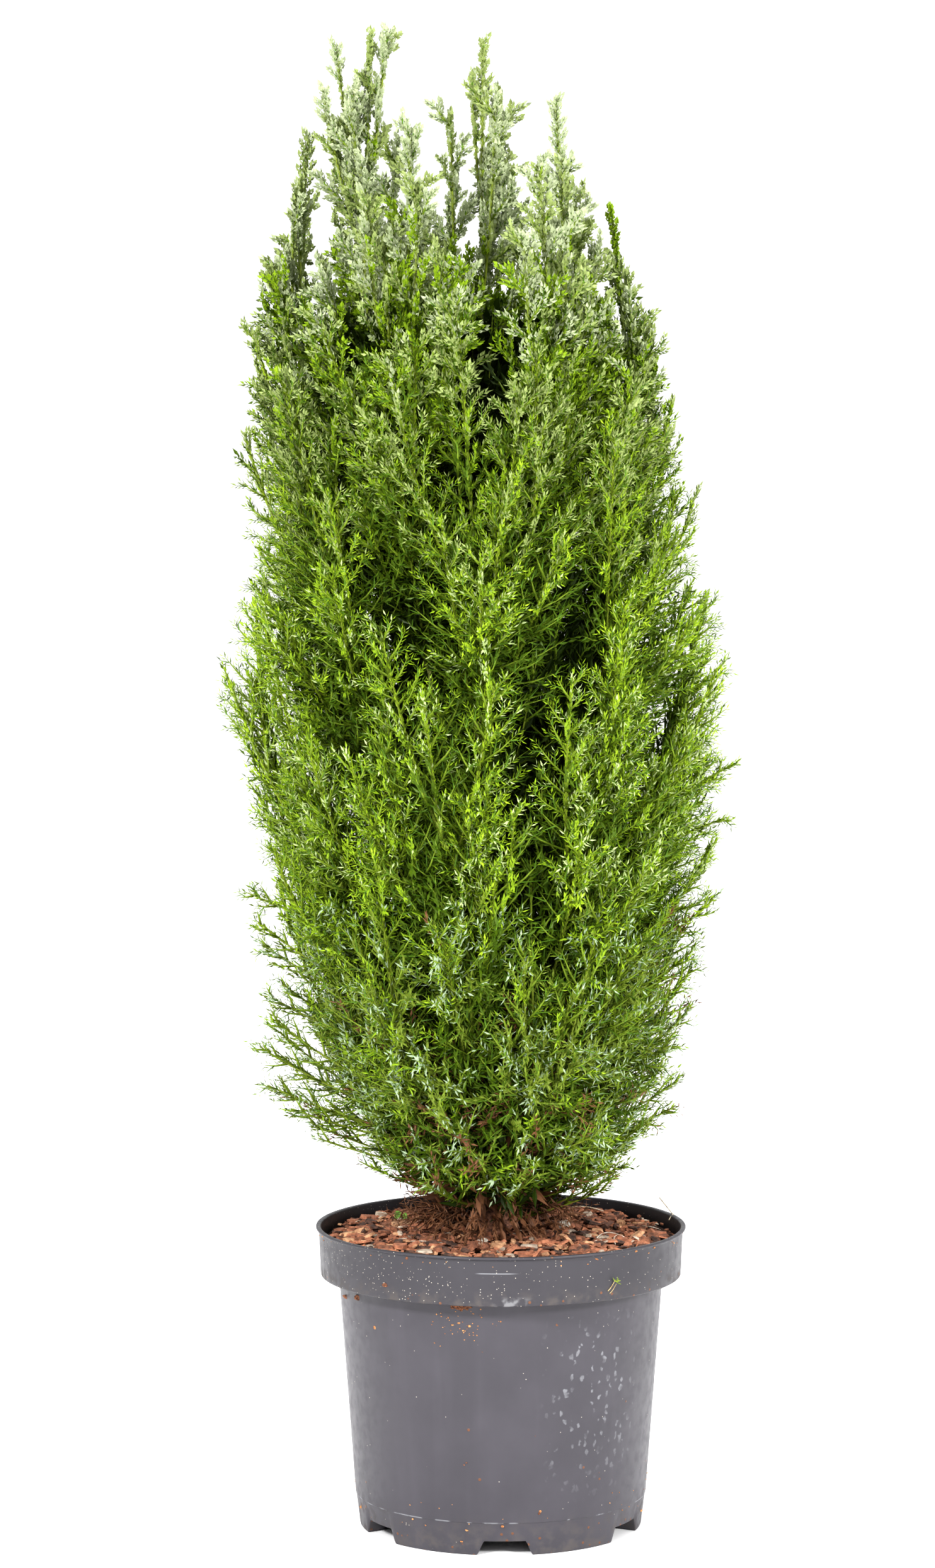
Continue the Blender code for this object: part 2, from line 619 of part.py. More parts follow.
class Grower:
    """Grows the masses one after another and keeps them clear of each other and of the limbs."""

    def __init__(self, masses, limbs, part, cutters):
        self.masses = masses
        self.part = part
        self.section = triangle_profile(cutters)
        self.trees = [world_tree(item) for item in limbs]
        self.shoots = [shoot for mass in masses for shoot in (mass.stem, *mass.shoots)]
        self.samples = np.array([shoot.samples() for shoot in self.shoots])
        self.widths = np.array([shoot.width for shoot in self.shoots])

    def owns(self, shoot, place):
        """Whether the place is nearer to this shoot than to any other, by the shoots' widths."""
        distances = np.linalg.norm(self.samples - np.array(place), axis=2).min(axis=1) / self.widths
        return self.shoots[int(distances.argmin())] is shoot

    def touches(self, tree):
        """Whether a shape meets a limb or a mass that is grown already."""
        return any(tree.overlap(other) for other in self.trees)

    def has_room(self, shoot, corners, centre, tip):
        """Whether a spray stays within the crown, in its shoot's space and clear of the rest."""
        if (tip - within_crown(tip)).length > REACH_ALLOWANCE:
            return False
        if not (self.owns(shoot, tip) and self.owns(shoot, centre.lerp(tip, 0.5))):
            return False
        grown = [centre.lerp(corner, ROOM_BESIDE) for corner in corners]
        grown.append(tip + (tip - centre).normalized() * ROOM_BEYOND)
        sides = [(i, (i + 1) % 4, 4) for i in range(4)]
        return not self.touches(BVHTree.FromPolygons(grown, sides))

    def spray_tip(self, shoot, corners, rng):
        """The tip of a spray over four corners of a stem's side, or nothing where none has room."""
        centre = sum(corners, Vector()) / len(corners)
        share = shoot.share_at(centre)
        forward = shoot.forward(share)
        out = centre - shoot.point(share)
        out = (out - forward * out.dot(forward)).normalized()
        angle = SPRAY_FOOT_ANGLE + (SPRAY_TIP_ANGLE - SPRAY_FOOT_ANGLE) * share
        angle += rng.uniform(-SPRAY_ANGLE_SPREAD, SPRAY_ANGLE_SPREAD)
        direction = forward * math.cos(angle) + out * math.sin(angle)
        length = SPRAY_LENGTH * (1.0 - (1.0 - SPRAY_TIP_SHARE) * share)
        length *= 1.0 + rng.uniform(-SPRAY_LENGTH_SPREAD, SPRAY_LENGTH_SPREAD)
        while length > SPRAY_MIN_LENGTH:
            tip = centre + direction * length
            if self.has_room(shoot, corners, centre, tip):
                return tip
            length *= SPRAY_SHORTER
        return None

    def bare(self, shoot, name, group, square_to=None):
        """A three-sided stem or shoot with no sprays yet; its foot may be cut square to a limb."""
        line = shoot.line()
        radii = shoot.radii()
        if square_to is not None:
            line.insert(1, line[0] + square_to * STEM_SQUARE_FOOT)
            radii.insert(1, radii[0])
        return tube(name, line, radii, group, profile=self.section, twist=RING_TWIST)

    def add_sprays(self, shoot, item, rng):
        """Draw each side above the bare foot out into a spray where it has room, and the tip too."""
        shape = bmesh.new()
        shape.from_mesh(item.data)
        line = shoot.line()
        for face in list(shape.faces):
            centre = face.calc_center_median()
            ring = min(range(len(line)), key=lambda i: (line[i] - centre).length)
            tip = None
            if len(face.verts) == 3 and ring == shoot.rings:
                tip = shoot.end
            if len(face.verts) == 4 and ring >= shoot.bare_rings:
                tip = self.spray_tip(shoot, [v.co.copy() for v in face.verts], rng)
            if tip is not None:
                middle = bmesh.ops.poke(shape, faces=[face])["verts"][0]
                middle.co = tip
        bmesh.ops.triangulate(shape, faces=shape.faces)
        shape.to_mesh(item.data)
        shape.free()

    def grow(self, index, clearance):
        """Build one mass: its stem and its shoots with their sprays, fused into one solid."""
        mass = self.masses[index]
        rng = random.Random(SEED + index)
        stem = self.bare(mass.stem, mass.name, self.part, square_to=mass.along)
        if mass.on_trunk:
            apply_cut(stem, clearance)
        pieces = bpy.data.collections.new("pieces")
        bpy.context.scene.collection.children.link(pieces)
        self.add_sprays(mass.stem, stem, rng)
        for number, shoot in enumerate(mass.shoots):
            item = self.bare(shoot, f"shoot_{number}", pieces)
            if self.touches(world_tree(item)):
                bpy.data.objects.remove(item, do_unlink=True)
                continue
            self.add_sprays(shoot, item, rng)
        self.trees += [world_tree(item) for item in [stem, *pieces.objects]]
        fuse(stem, pieces)
        stem.data.materials.clear()
        stem.data.materials.append(finish_material(mass.name + "_green", "foliage"))


def fuse(stem, pieces):
    """Join the stem with its shoots, drop loose scraps and remove the pieces."""
    join = stem.modifiers.new("join", 'BOOLEAN')
    join.operation = 'UNION'
    join.operand_type = 'COLLECTION'
    join.collection = pieces
    join.solver = 'EXACT'
    join.use_self = True
    bpy.context.view_layer.update()
    mesh = evaluated_mesh(stem)
    stem.modifiers.clear()
    stem.data = mesh
    keep_largest(mesh)
    for item in list(pieces.objects):
        bpy.data.objects.remove(item, do_unlink=True)
    bpy.data.collections.remove(pieces)


def keep_largest(mesh):
    """Leave only the body with the most faces, so that no loose scrap stays."""
    shape = bmesh.new()
    shape.from_mesh(mesh)
    waiting = set(shape.faces)
    bodies = []
    while waiting:
        body = set()
        front = [waiting.pop()]
        while front:
            face = front.pop()
            body.add(face)
            beside = {other for edge in face.edges for other in edge.link_faces} & waiting
            waiting -= beside
            front += beside
        bodies.append(body)
    bodies.sort(key=len, reverse=True)
    for body in bodies[1:]:
        bmesh.ops.delete(shape, geom=list(body), context='FACES')
    shape.to_mesh(mesh)
    shape.free()


def build():
    """The whole plant in its pot."""
    part, cutters = clear_scene()
    build_pot(part, cutters)
    build_soil(part)
    trunk, clearance, top, up = build_trunk(part, cutters)
    limbs = [trunk]
    masses = []
    for name, foot, end, tip, width, shoots in [*tier_masses(), *leader_masses()]:
        start = foot
        along = (tip - foot).normalized()
        if end is not None:
            bough, along = build_bough(name, foot, end, part, clearance)
            limbs.append(bough)
            start = end + along * GAP
        masses.append(Mass("foliage_" + name, start, along, tip, width, shoots, end is None))
    tip = Vector(MIDDLE_LEADER_TIP) + Vector((POT_X, 0, 0))
    masses.append(Mass("foliage_leader_middle", top + up * GAP, up, tip, LEADER_WIDTH, PAIR, False))
    grower = Grower(masses, limbs, part, cutters)
    for index in range(len(masses)):
        grower.grow(index, clearance)


build()
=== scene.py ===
"""A young potted Lawson cypress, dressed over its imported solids.

Metres, +Z up, and the camera looks along +Y. The pot's axis stands at X = POT_X. The sections follow
the plant as it is potted up: the pot, the compost and its mulch, the trunk, the boughs, the stems,
the twigs, the needles, the litter on the mulch and the pot, and then the studio.
"""
import math

import bpy
import numpy as np
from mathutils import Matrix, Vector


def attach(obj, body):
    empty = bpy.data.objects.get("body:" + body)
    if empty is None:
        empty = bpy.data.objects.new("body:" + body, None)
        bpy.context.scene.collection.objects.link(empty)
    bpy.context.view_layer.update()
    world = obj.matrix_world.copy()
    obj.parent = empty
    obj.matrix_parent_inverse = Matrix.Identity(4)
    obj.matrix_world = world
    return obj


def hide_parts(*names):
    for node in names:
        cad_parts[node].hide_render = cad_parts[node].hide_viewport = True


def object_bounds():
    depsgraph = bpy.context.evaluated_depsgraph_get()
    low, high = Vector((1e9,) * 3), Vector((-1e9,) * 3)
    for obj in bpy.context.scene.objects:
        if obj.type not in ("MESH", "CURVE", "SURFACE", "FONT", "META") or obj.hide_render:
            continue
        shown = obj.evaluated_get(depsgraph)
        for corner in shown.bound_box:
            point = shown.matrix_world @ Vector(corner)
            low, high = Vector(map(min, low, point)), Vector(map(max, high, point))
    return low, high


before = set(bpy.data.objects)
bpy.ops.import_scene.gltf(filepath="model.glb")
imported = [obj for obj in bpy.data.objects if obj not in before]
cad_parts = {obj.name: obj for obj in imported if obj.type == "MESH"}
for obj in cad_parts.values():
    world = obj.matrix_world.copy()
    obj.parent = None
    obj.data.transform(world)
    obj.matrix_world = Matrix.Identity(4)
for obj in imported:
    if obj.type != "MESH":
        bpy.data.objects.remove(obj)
cad_box = [list(corner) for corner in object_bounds()]


# ---- The pot
# A round five-litre nursery container, injection-moulded in slate-grey plastic. Its thin wall tapers
# to a foot with six notches, and a deep collar with a thin rolled lip stiffens the rim.

POT_X = 0.016
LIP_RADIUS, LIP_TOP_Z, LIP_FOOT_Z = 0.1150, 0.1876, 0.1860
COLLAR_TOP_RADIUS, COLLAR_FOOT_RADIUS, COLLAR_FOOT_Z = 0.1132, 0.1121, 0.1572
BODY_TOP_RADIUS = 0.1008
SEAM_RADIUS, SEAM_Z, SEAM_STEP = 0.0906, 0.0206, 0.0004
FOOT_RADIUS, FOOT_INNER_RADIUS = 0.0876, 0.0706
WALL, CORNER_EASE, LEDGE = 0.0012, 0.0010, 0.0040
FLOOR_UNDERSIDE_Z, FLOOR_TOP_Z = 0.0090, 0.0108
NOTCHES = np.radians(-88.7 + 60.0 * np.arange(6))
NOTCH_HALF_TOP, NOTCH_HALF_FOOT, NOTCH_HEIGHT = 0.0125, 0.0170, 0.0086
DRAIN_RADIUS, DRAIN_RING_RADIUS = 0.006, 0.045
PROFILE_STEP, WALL_SIDES, FLOOR_SIDES, DRAIN_SIDES = 0.0070, 200, 120, 24


def linked(name, data):
    """A new object in the scene for a mesh, a curve, a light or a camera."""
    made = bpy.data.objects.new(name, data)
    bpy.context.scene.collection.objects.link(made)
    return made


def piece_of(name, points, faces, smooth=True):
    """A mesh object from an array of points and an array of faces that all have as many corners."""
    mesh = bpy.data.meshes.new(name)
    mesh.vertices.add(len(points))
    mesh.vertices.foreach_set("co", np.ascontiguousarray(points, dtype=np.float32).ravel())
    mesh.loops.add(faces.size)
    mesh.loops.foreach_set("vertex_index", np.ascontiguousarray(faces, dtype=np.int32).ravel())
    mesh.polygons.add(len(faces))
    mesh.polygons.foreach_set("loop_start", np.arange(len(faces), dtype=np.int32) * faces.shape[1])
    mesh.polygons.foreach_set("use_smooth", np.full(len(faces), smooth))
    mesh.update(calc_edges=True)
    return linked(name, mesh)


def finished(piece, material, slot, *nodes):
    """The piece gets its material, stands for nodes of the source, and rides with the plant."""
    piece.data.materials.append(material)
    if nodes:
        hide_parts(*nodes)
    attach(piece, "root")


def grid_faces(rows, columns, close_rows=False):
    """The four-cornered faces between neighbouring points of a grid whose rows are closed rings."""
    row = np.arange(rows if close_rows else rows - 1)[:, None]
    column = np.arange(columns)[None, :]
    below, beside = (row + 1) % rows, (column + 1) % columns
    corners = [row * columns + column, below * columns + column,
               below * columns + beside, row * columns + beside]
    return np.stack(corners, axis=-1).reshape(-1, 4)


def rounded(corners, radius, pieces=4):
    """A closed profile with its corners eased: each is cut back by the radius, or by 0.45 of its
    shorter side, and the two cuts are joined by the parabola that has the corner as its handle."""
    corners = np.array(corners)
    to_before, to_after = np.roll(corners, 1, axis=0) - corners, np.roll(corners, -1, axis=0) - corners
    long_before, long_after = np.linalg.norm(to_before, axis=1), np.linalg.norm(to_after, axis=1)
    cut = np.minimum(radius, 0.45 * np.minimum(long_before, long_after))[:, None]
    first = corners + to_before / long_before[:, None] * cut
    last = corners + to_after / long_after[:, None] * cut
    s = np.linspace(0.0, 1.0, pieces + 1)[None, :, None]
    eased = first[:, None] * (1 - s) ** 2 + corners[:, None] * 2 * s * (1 - s) + last[:, None] * s ** 2
    return eased.reshape(-1, 2)


def per_parent(counts):
    """For each child, the index of its parent and its own number among that parent's children."""
    parent = np.repeat(np.arange(len(counts)), counts)
    return parent, np.arange(len(parent)) - np.repeat(np.cumsum(counts) - counts, counts)


def filled_in(profile, step):
    """The closed profile with even points added where two neighbours are more than a step apart."""
    after = np.roll(profile, -1, axis=0)
    parts = np.maximum(1, np.ceil(np.linalg.norm(after - profile, axis=1) / step).astype(int))
    index, number = per_parent(parts)
    return profile[index] + (after - profile)[index] * (number / parts[index])[:, None]


def wall_radius(height, inset):
    """The outside's straight taper between the seam and the collar, less an inset."""
    share = (height - SEAM_Z) / (COLLAR_FOOT_Z - SEAM_Z)
    return SEAM_RADIUS + (BODY_TOP_RADIUS - SEAM_RADIUS) * share - inset


def notch_height(radius, azimuth):
    """How far a notch lifts the foot: the full height within its half width, and a smooth slope
    down to the ground at its flared edge, measured straight across from the notch's middle line."""
    turn = azimuth[None, None, :] - NOTCHES[:, None, None]
    across = np.where(np.cos(turn) > 0, np.abs(radius[None, :, None] * np.sin(turn)), 1.0).min(axis=0)
    share = np.clip((NOTCH_HALF_FOOT - across) / (NOTCH_HALF_FOOT - NOTCH_HALF_TOP), 0.0, 1.0)
    return NOTCH_HEIGHT * share * (0.45 + share * (1.65 - 1.10 * share))


def pot_wall():
    """The wall turned from a closed profile. Below the seam the outside is squeezed up towards the
    seam over a notch, and the inside of the foot towards the floor, by z + lift * (1 - z / span)."""
    step_z = COLLAR_FOOT_Z + WALL
    corners = [
        (wall_radius(FLOOR_TOP_Z, WALL), FLOOR_TOP_Z), (wall_radius(step_z, WALL), step_z),
        (COLLAR_FOOT_RADIUS - WALL, step_z + 0.001), (COLLAR_TOP_RADIUS - WALL, LIP_TOP_Z),
        (LIP_RADIUS, LIP_TOP_Z), (LIP_RADIUS, LIP_FOOT_Z), (COLLAR_TOP_RADIUS, LIP_FOOT_Z - 0.0004),
        (COLLAR_FOOT_RADIUS, COLLAR_FOOT_Z), (BODY_TOP_RADIUS, COLLAR_FOOT_Z),
        (SEAM_RADIUS, SEAM_Z), (SEAM_RADIUS - SEAM_STEP, SEAM_Z - SEAM_STEP), (FOOT_RADIUS, 0.0),
        (FOOT_INNER_RADIUS, 0.0), (FOOT_INNER_RADIUS, FLOOR_UNDERSIDE_Z),
        (FOOT_INNER_RADIUS - LEDGE, FLOOR_UNDERSIDE_Z), (FOOT_INNER_RADIUS - LEDGE, FLOOR_TOP_Z),
    ]
    profile = filled_in(rounded(corners, CORNER_EASE), PROFILE_STEP)
    flank = np.arcsin(0.5 * (NOTCH_HALF_TOP + NOTCH_HALF_FOOT) / FOOT_RADIUS)
    near = NOTCHES[:, None, None] + np.array([-flank, flank])[:, None] + np.linspace(-0.05, 0.05, 13)
    even = np.linspace(0.0, math.tau, WALL_SIDES, endpoint=False)
    azimuth = np.unique(np.round(np.concatenate([even, near.ravel() % math.tau]), 6))
    radius, height = profile.T
    inside = radius < 0.5 * (FOOT_RADIUS + FOOT_INNER_RADIUS)
    squeeze = np.clip(1.0 - height / np.where(inside, FLOOR_UNDERSIDE_Z, SEAM_Z), 0.0, 1.0)
    z = height[:, None] + notch_height(radius, azimuth) * squeeze[:, None]
    x, y = POT_X + radius[:, None] * np.cos(azimuth), radius[:, None] * np.sin(azimuth)
    return np.stack([x, y, z], axis=-1).reshape(-1, 3), grid_faces(len(profile), len(azimuth), True)


def pot_floor():
    """The floor: a flat disc with six drain holes, drawn as circles and given its thickness."""
    plan = bpy.data.curves.new("floor_plan", 'CURVE')
    plan.dimensions, plan.fill_mode = '2D', 'BOTH'
    plan.extrude = 0.5 * (FLOOR_TOP_Z - FLOOR_UNDERSIDE_Z) - 0.0001
    circles = [(DRAIN_RING_RADIUS * math.cos(a), DRAIN_RING_RADIUS * math.sin(a), DRAIN_RADIUS,
                DRAIN_SIDES) for a in NOTCHES]
    circles.insert(0, (0.0, 0.0, FOOT_INNER_RADIUS - 0.0035, FLOOR_SIDES))
    for x, y, radius, sides in circles:
        ring = plan.splines.new('POLY')
        ring.points.add(sides - 1)
        turn = np.linspace(0.0, math.tau, sides, endpoint=False)
        level = np.stack([POT_X + x + radius * np.cos(turn), y + radius * np.sin(turn)], axis=-1)
        ring.points.foreach_set("co", np.hstack([level, np.tile([0.0, 1.0], (sides, 1))]).ravel())
        ring.use_cyclic_u = True
    drawn = linked("floor_plan", plan)
    mesh = bpy.data.meshes.new_from_object(drawn.evaluated_get(bpy.context.evaluated_depsgraph_get()))
    bpy.data.objects.remove(drawn)
    place = np.empty(3 * len(mesh.vertices), dtype=np.float32)
    mesh.vertices.foreach_get("co", place)
    place[2::3] += 0.5 * (FLOOR_TOP_Z + FLOOR_UNDERSIDE_Z)
    mesh.vertices.foreach_set("co", place)
    mesh.name = "pot_floor"
    return linked("pot_floor", mesh)


class Surface:
    """A material with a Principled shader, and short names for the nodes that feed it."""

    def __init__(self, name):
        self.material = bpy.data.materials.new(name)
        self.material.use_nodes = True
        self.tree = self.material.node_tree
        self.shader = self.tree.nodes["Principled BSDF"]

    def feed(self, node, inputs):
        """A node's inputs, each joined to another node's output or set to a plain value."""
        for socket, value in inputs.items():
            if isinstance(value, bpy.types.NodeSocket):
                self.tree.links.new(value, node.inputs[socket])
            else:
                node.inputs[socket].default_value = value

    def node(self, kind, inputs, **settings):
        """A new node of a kind, with its settings and its inputs."""
        made = self.tree.nodes.new("ShaderNode" + kind)
        for setting, value in settings.items():
            setattr(made, setting, value)
        self.feed(made, inputs)
        return made

    def place(self):
        """Where on the piece, in its own metres."""
        return self.node("TexCoord", {}).outputs["Object"]

    def noise(self, place, scale, detail, **more):
        """Smooth noise round 0.5."""
        inputs = {"Vector": place, "Scale": scale, "Detail": detail, **more}
        return self.node("TexNoise", inputs).outputs["Fac"]

    def mix(self, share, first, second):
        """A colour between two, by a share from 0 to 1."""
        return self.node("Mix", {0: share, 6: first, 7: second}, data_type='RGBA').outputs[2]

    def ramp(self, value, low, high, to_low=0.0, to_high=1.0):
        """A smooth ramp from one number to another as a value passes from low to high."""
        inputs = {"Value": value, 1: low, 2: high, 3: to_low, 4: to_high}
        return self.node("MapRange", inputs, interpolation_type='SMOOTHSTEP').outputs["Result"]

    def within(self, value, low, rise, fall, high):
        """1 between two numbers, with a smooth ramp outside each down to 0."""
        return self.times(self.ramp(value, high, fall), self.ramp(value, low, rise))

    def calc(self, operation, total, *values):
        """One kind of arithmetic, carried from each value on to the next."""
        for value in values:
            total = self.node("Math", {0: total, 1: value}, operation=operation).outputs[0]
        return total

    def times(self, *values):
        """The product of the values."""
        return self.calc('MULTIPLY', *values)

    def plus(self, *values):
        """The sum of the values."""
        return self.calc('ADD', *values)

    def larger(self, *values):
        """The largest of the values."""
        return self.calc('MAXIMUM', *values)

    def flecks(self, place, scale, reach, kept):
        """Small marks, one to a random cell: 1 within reach of its point, in the kept share of them."""
        cells = self.node("TexVoronoi", {"Vector": place, "Scale": scale, "Randomness": 1.0})
        lot = self.node("SeparateColor", {"Color": cells.outputs["Color"]}).outputs["Red"]
        size = self.times(reach, self.plus(0.6, lot))
        near = self.ramp(cells.outputs["Distance"], self.times(size, 1.15), self.times(size, 0.75))
        return self.times(near, self.ramp(lot, self.calc('SUBTRACT', 1.0, kept),
                                          self.calc('SUBTRACT', 1.001, kept)))

    def done(self, colour, roughness, bump=None, strength=0.0, distance=0.0):
        """The finished material, with its colour, its roughness and a bump of a height in metres."""
        self.feed(self.shader, {"Base Color": colour, "Roughness": roughness})
        if bump is not None:
            bump = self.node("Bump", {"Height": bump, "Strength": strength, "Distance": distance})
            self.feed(self.shader, {"Normal": bump.outputs["Normal"]})
        return self.material


SLATE, SLATE_PALE = (0.041, 0.038, 0.045, 1.0), (0.053, 0.049, 0.058, 1.0)
SLATE_DARK, DUST = (0.022, 0.0205, 0.024, 1.0), (0.105, 0.090, 0.078, 1.0)
CREAM_FLECK, PEAT_FLECK = (0.62, 0.57, 0.48, 1.0), (0.130, 0.052, 0.022, 1.0)
LIME_MARK = (0.36, 0.37, 0.39, 1.0)


def slate_plastic():
    """Satin slate plastic, a little mottled and streaked down the wall, with dried dust low on the
    collar and the foot, cream and peat flecks, the pale dabs that hard water leaves on the right, a
    scratch on the collar, chalky wear on the seam, and a patch of mould under the collar."""
    s = Surface("slate_plastic")
    place = s.node("Mapping", {"Vector": s.place(), "Location": (-POT_X, 0.0, 0.0)}).outputs[0]
    x, y, z = s.node("SeparateXYZ", {"Vector": place}).outputs
    mottle, fine = s.noise(place, 22.0, 5.0), s.noise(place, 160.0, 4.0)
    tall = s.node("Mapping", {"Vector": place, "Scale": (90.0, 90.0, 5.0)}).outputs[0]
    streak = s.noise(tall, 1.0, 3.0)
    tone = s.plus(s.times(s.ramp(mottle, 0.35, 0.70), 0.6), s.times(s.ramp(streak, 0.45, 0.80), 0.4))
    on_collar = s.ramp(z, 0.1568, 0.1576)
    colour = s.mix(s.times(on_collar, 0.55), s.mix(tone, SLATE, SLATE_PALE), SLATE_DARK)

    low_collar, low_foot = s.within(z, 0.1560, 0.1575, 0.1580, 0.1690), s.ramp(z, 0.0300, 0.0000)
    dusty = s.times(s.larger(low_collar, low_foot), s.ramp(fine, 0.42, 0.72, 0.0, 0.42))
    colour = s.mix(dusty, colour, DUST)
    thick = s.times(on_collar, s.ramp(x, 0.070, -0.030, 0.35, 1.0))
    pale = s.larger(s.flecks(place, 340.0, 0.060, s.plus(s.times(thick, 0.26), 0.010)),
                    s.flecks(place, 620.0, 0.110, s.plus(s.times(thick, 0.34), 0.014)))
    colour = s.mix(s.times(pale, 0.75), colour, CREAM_FLECK)
    low = s.larger(low_foot, s.times(low_collar, 0.7))
    peat = s.flecks(place, 300.0, 0.18, s.plus(s.times(low, 0.15), 0.006))
    colour = s.mix(s.times(peat, 0.85), colour, PEAT_FLECK)

    cloud = s.node("TexNoise", {"Vector": place, "Scale": 190.0, "Detail": 2.0}).outputs["Color"]
    shift = s.node("VectorMath", {0: cloud, 1: (0.006, 0.006, 0.006)}, operation='MULTIPLY').outputs[0]
    wander = s.node("VectorMath", {0: place, 1: shift}).outputs[0]
    drawn = s.node("Mapping", {"Vector": wander, "Scale": (1.0, 1.0, 0.62)}).outputs[0]
    spots = s.node("TexVoronoi", {"Vector": drawn, "Scale": 250.0, "Randomness": 1.0})
    lot = s.node("SeparateColor", {"Color": spots.outputs["Color"]}).outputs["Green"]
    dab = s.times(s.ramp(spots.outputs["Distance"], 0.38, 0.24), s.ramp(lot, 0.52, 0.54),
                  s.ramp(fine, 0.30, 0.60), s.within(x, 0.022, 0.034, 0.070, 0.086),
                  s.within(z, 0.020, 0.090, 0.125, 0.152), s.ramp(y, 0.02, -0.03))
    scratch = s.times(s.within(z, 0.1770, 0.1773, 0.1776, 0.1779),
                      s.within(x, -0.017, -0.012, 0.003, 0.011))
    seam = s.times(s.within(z, 0.0200, 0.0203, 0.0208, 0.0211), s.ramp(streak, 0.50, 0.58))
    mould = s.times(s.ramp(z, 0.1640, 0.1600), s.ramp(fine, 0.44, 0.60),
                    s.within(x, -0.008, 0.002, 0.010, 0.020), on_collar)
    worn = s.larger(scratch, seam, s.times(mould, 0.7))
    colour = s.mix(s.larger(s.times(dab, 0.32), s.times(worn, 0.40)), colour, LIME_MARK)

    rough = s.plus(s.ramp(fine, 0.3, 0.8, 0.38, 0.52), s.times(pale, 0.4), s.times(dusty, 0.6))
    height = s.plus(s.times(fine, 0.25), s.times(pale, 0.8), s.times(peat, 1.2))
    s.shader.inputs["Specular IOR Level"].default_value = 0.30
    return s.done(colour, rough, height, 0.35, 0.0006)


slate = slate_plastic()
finished(piece_of("pot_wall", *pot_wall()), slate, "pot_plastic", "pot")
finished(pot_floor(), slate, "pot_plastic")


# ---- The compost and its mulch
# Peaty compost fills the pot, and a layer of bark chips covers it: flat, broken flakes of pine bark,
# most of them reddish brown, with a few tan, grey and nearly black ones.

SOIL_TOP_Z, SOIL_SHOULDER_Z, SOIL_WALL_Z = 0.1820, 0.1812, 0.1796
SOIL_LEVEL_RADIUS, SOIL_SHOULDER_RADIUS, SOIL_EDGE_RADIUS = 0.030, 0.080, 0.1112
MULCH_DEPTH, BALL_INSET, BALL_FOOT_Z, BALL_MIDDLE = 0.0022, 0.0015, 0.0112, 0.0006
TOP_RINGS, TOP_SIDES = 90, 220
CHIP_COUNT, CHIP_LEAST, CHIP_LARGEST = 2900, 0.0017, 0.0088

# Each tone's share of the chips, and its dark and its light colour
CHIP_TONES = {
    "mulch_red_brown": (0.37, (0.165, 0.061, 0.031), (0.385, 0.155, 0.082)),
    "mulch_umber": (0.31, (0.085, 0.032, 0.016), (0.260, 0.100, 0.051)),
    "mulch_tan": (0.11, (0.250, 0.122, 0.064), (0.540, 0.310, 0.170)),
    "mulch_grey": (0.06, (0.220, 0.165, 0.125), (0.500, 0.410, 0.320)),
    "mulch_black": (0.15, (0.022, 0.011, 0.007), (0.110, 0.052, 0.034)),
}


def lumps(place, size, seed):
    """Smooth random lumps from -1 to 1: random values at the corners of a cubic lattice of a size,
    blended between the eight corners round a place by 3 s^2 - 2 s^3 along each axis."""
    at = np.asarray(place) / size + 100.0
    corner = np.floor(at).astype(np.int64)
    s = at - corner
    s = s * s * (3.0 - 2.0 * s)
    total = 0.0
    for step in np.ndindex(2, 2, 2):
        i, j, k = np.moveaxis(corner + np.array(step), -1, 0)
        with np.errstate(over='ignore'):
            code = (i * 73856093) ^ (j * 19349663) ^ (k * 83492791) ^ (seed * 2654435761)
            code = (code ^ (code >> 13)) * 1274126177 & 0x7FFFFFFF
        value = (code & 0xFFFF) / 32767.5 - 1.0
        total = total + np.prod(np.where(np.array(step) == 1, s, 1.0 - s), axis=-1) * value
    return total


def mulch_height(radius):
    """The mulch's mean surface: level round the trunk, then falling to the wall."""
    return np.interp(radius, [0.0, SOIL_LEVEL_RADIUS, SOIL_SHOULDER_RADIUS, SOIL_EDGE_RADIUS],
                     [SOIL_TOP_Z, SOIL_TOP_Z, SOIL_SHOULDER_Z, SOIL_WALL_Z])


def compost():
    """The root ball turned from its profile, with lumps of two sizes on top, 1.5 mm at the most."""
    level = np.linspace(BALL_MIDDLE, SOIL_EDGE_RADIUS, TOP_RINGS)
    below = [(COLLAR_FOOT_RADIUS - 0.0016, 0.160), (wall_radius(0.158, BALL_INSET), 0.158),
             (wall_radius(0.024, BALL_INSET), 0.024), (0.084, BALL_FOOT_Z), (BALL_MIDDLE, BALL_FOOT_Z)]
    radius, height = np.vstack([np.stack([level, mulch_height(level) - MULCH_DEPTH], -1), below]).T
    turn = np.linspace(0.0, math.tau, TOP_SIDES, endpoint=False)
    x, y = radius[:, None] * np.cos(turn), radius[:, None] * np.sin(turn)
    place = np.stack([x, y, np.zeros_like(x)], axis=-1)
    rise = 0.0010 * lumps(place, 0.0060, 3) + 0.0005 * lumps(place, 0.0022, 4)
    rise[TOP_RINGS - 2:] = 0.0
    points = np.stack([POT_X + x, y, height[:, None] + rise], axis=-1)
    return points.reshape(-1, 3), grid_faces(len(radius), TOP_SIDES)[:, ::-1]


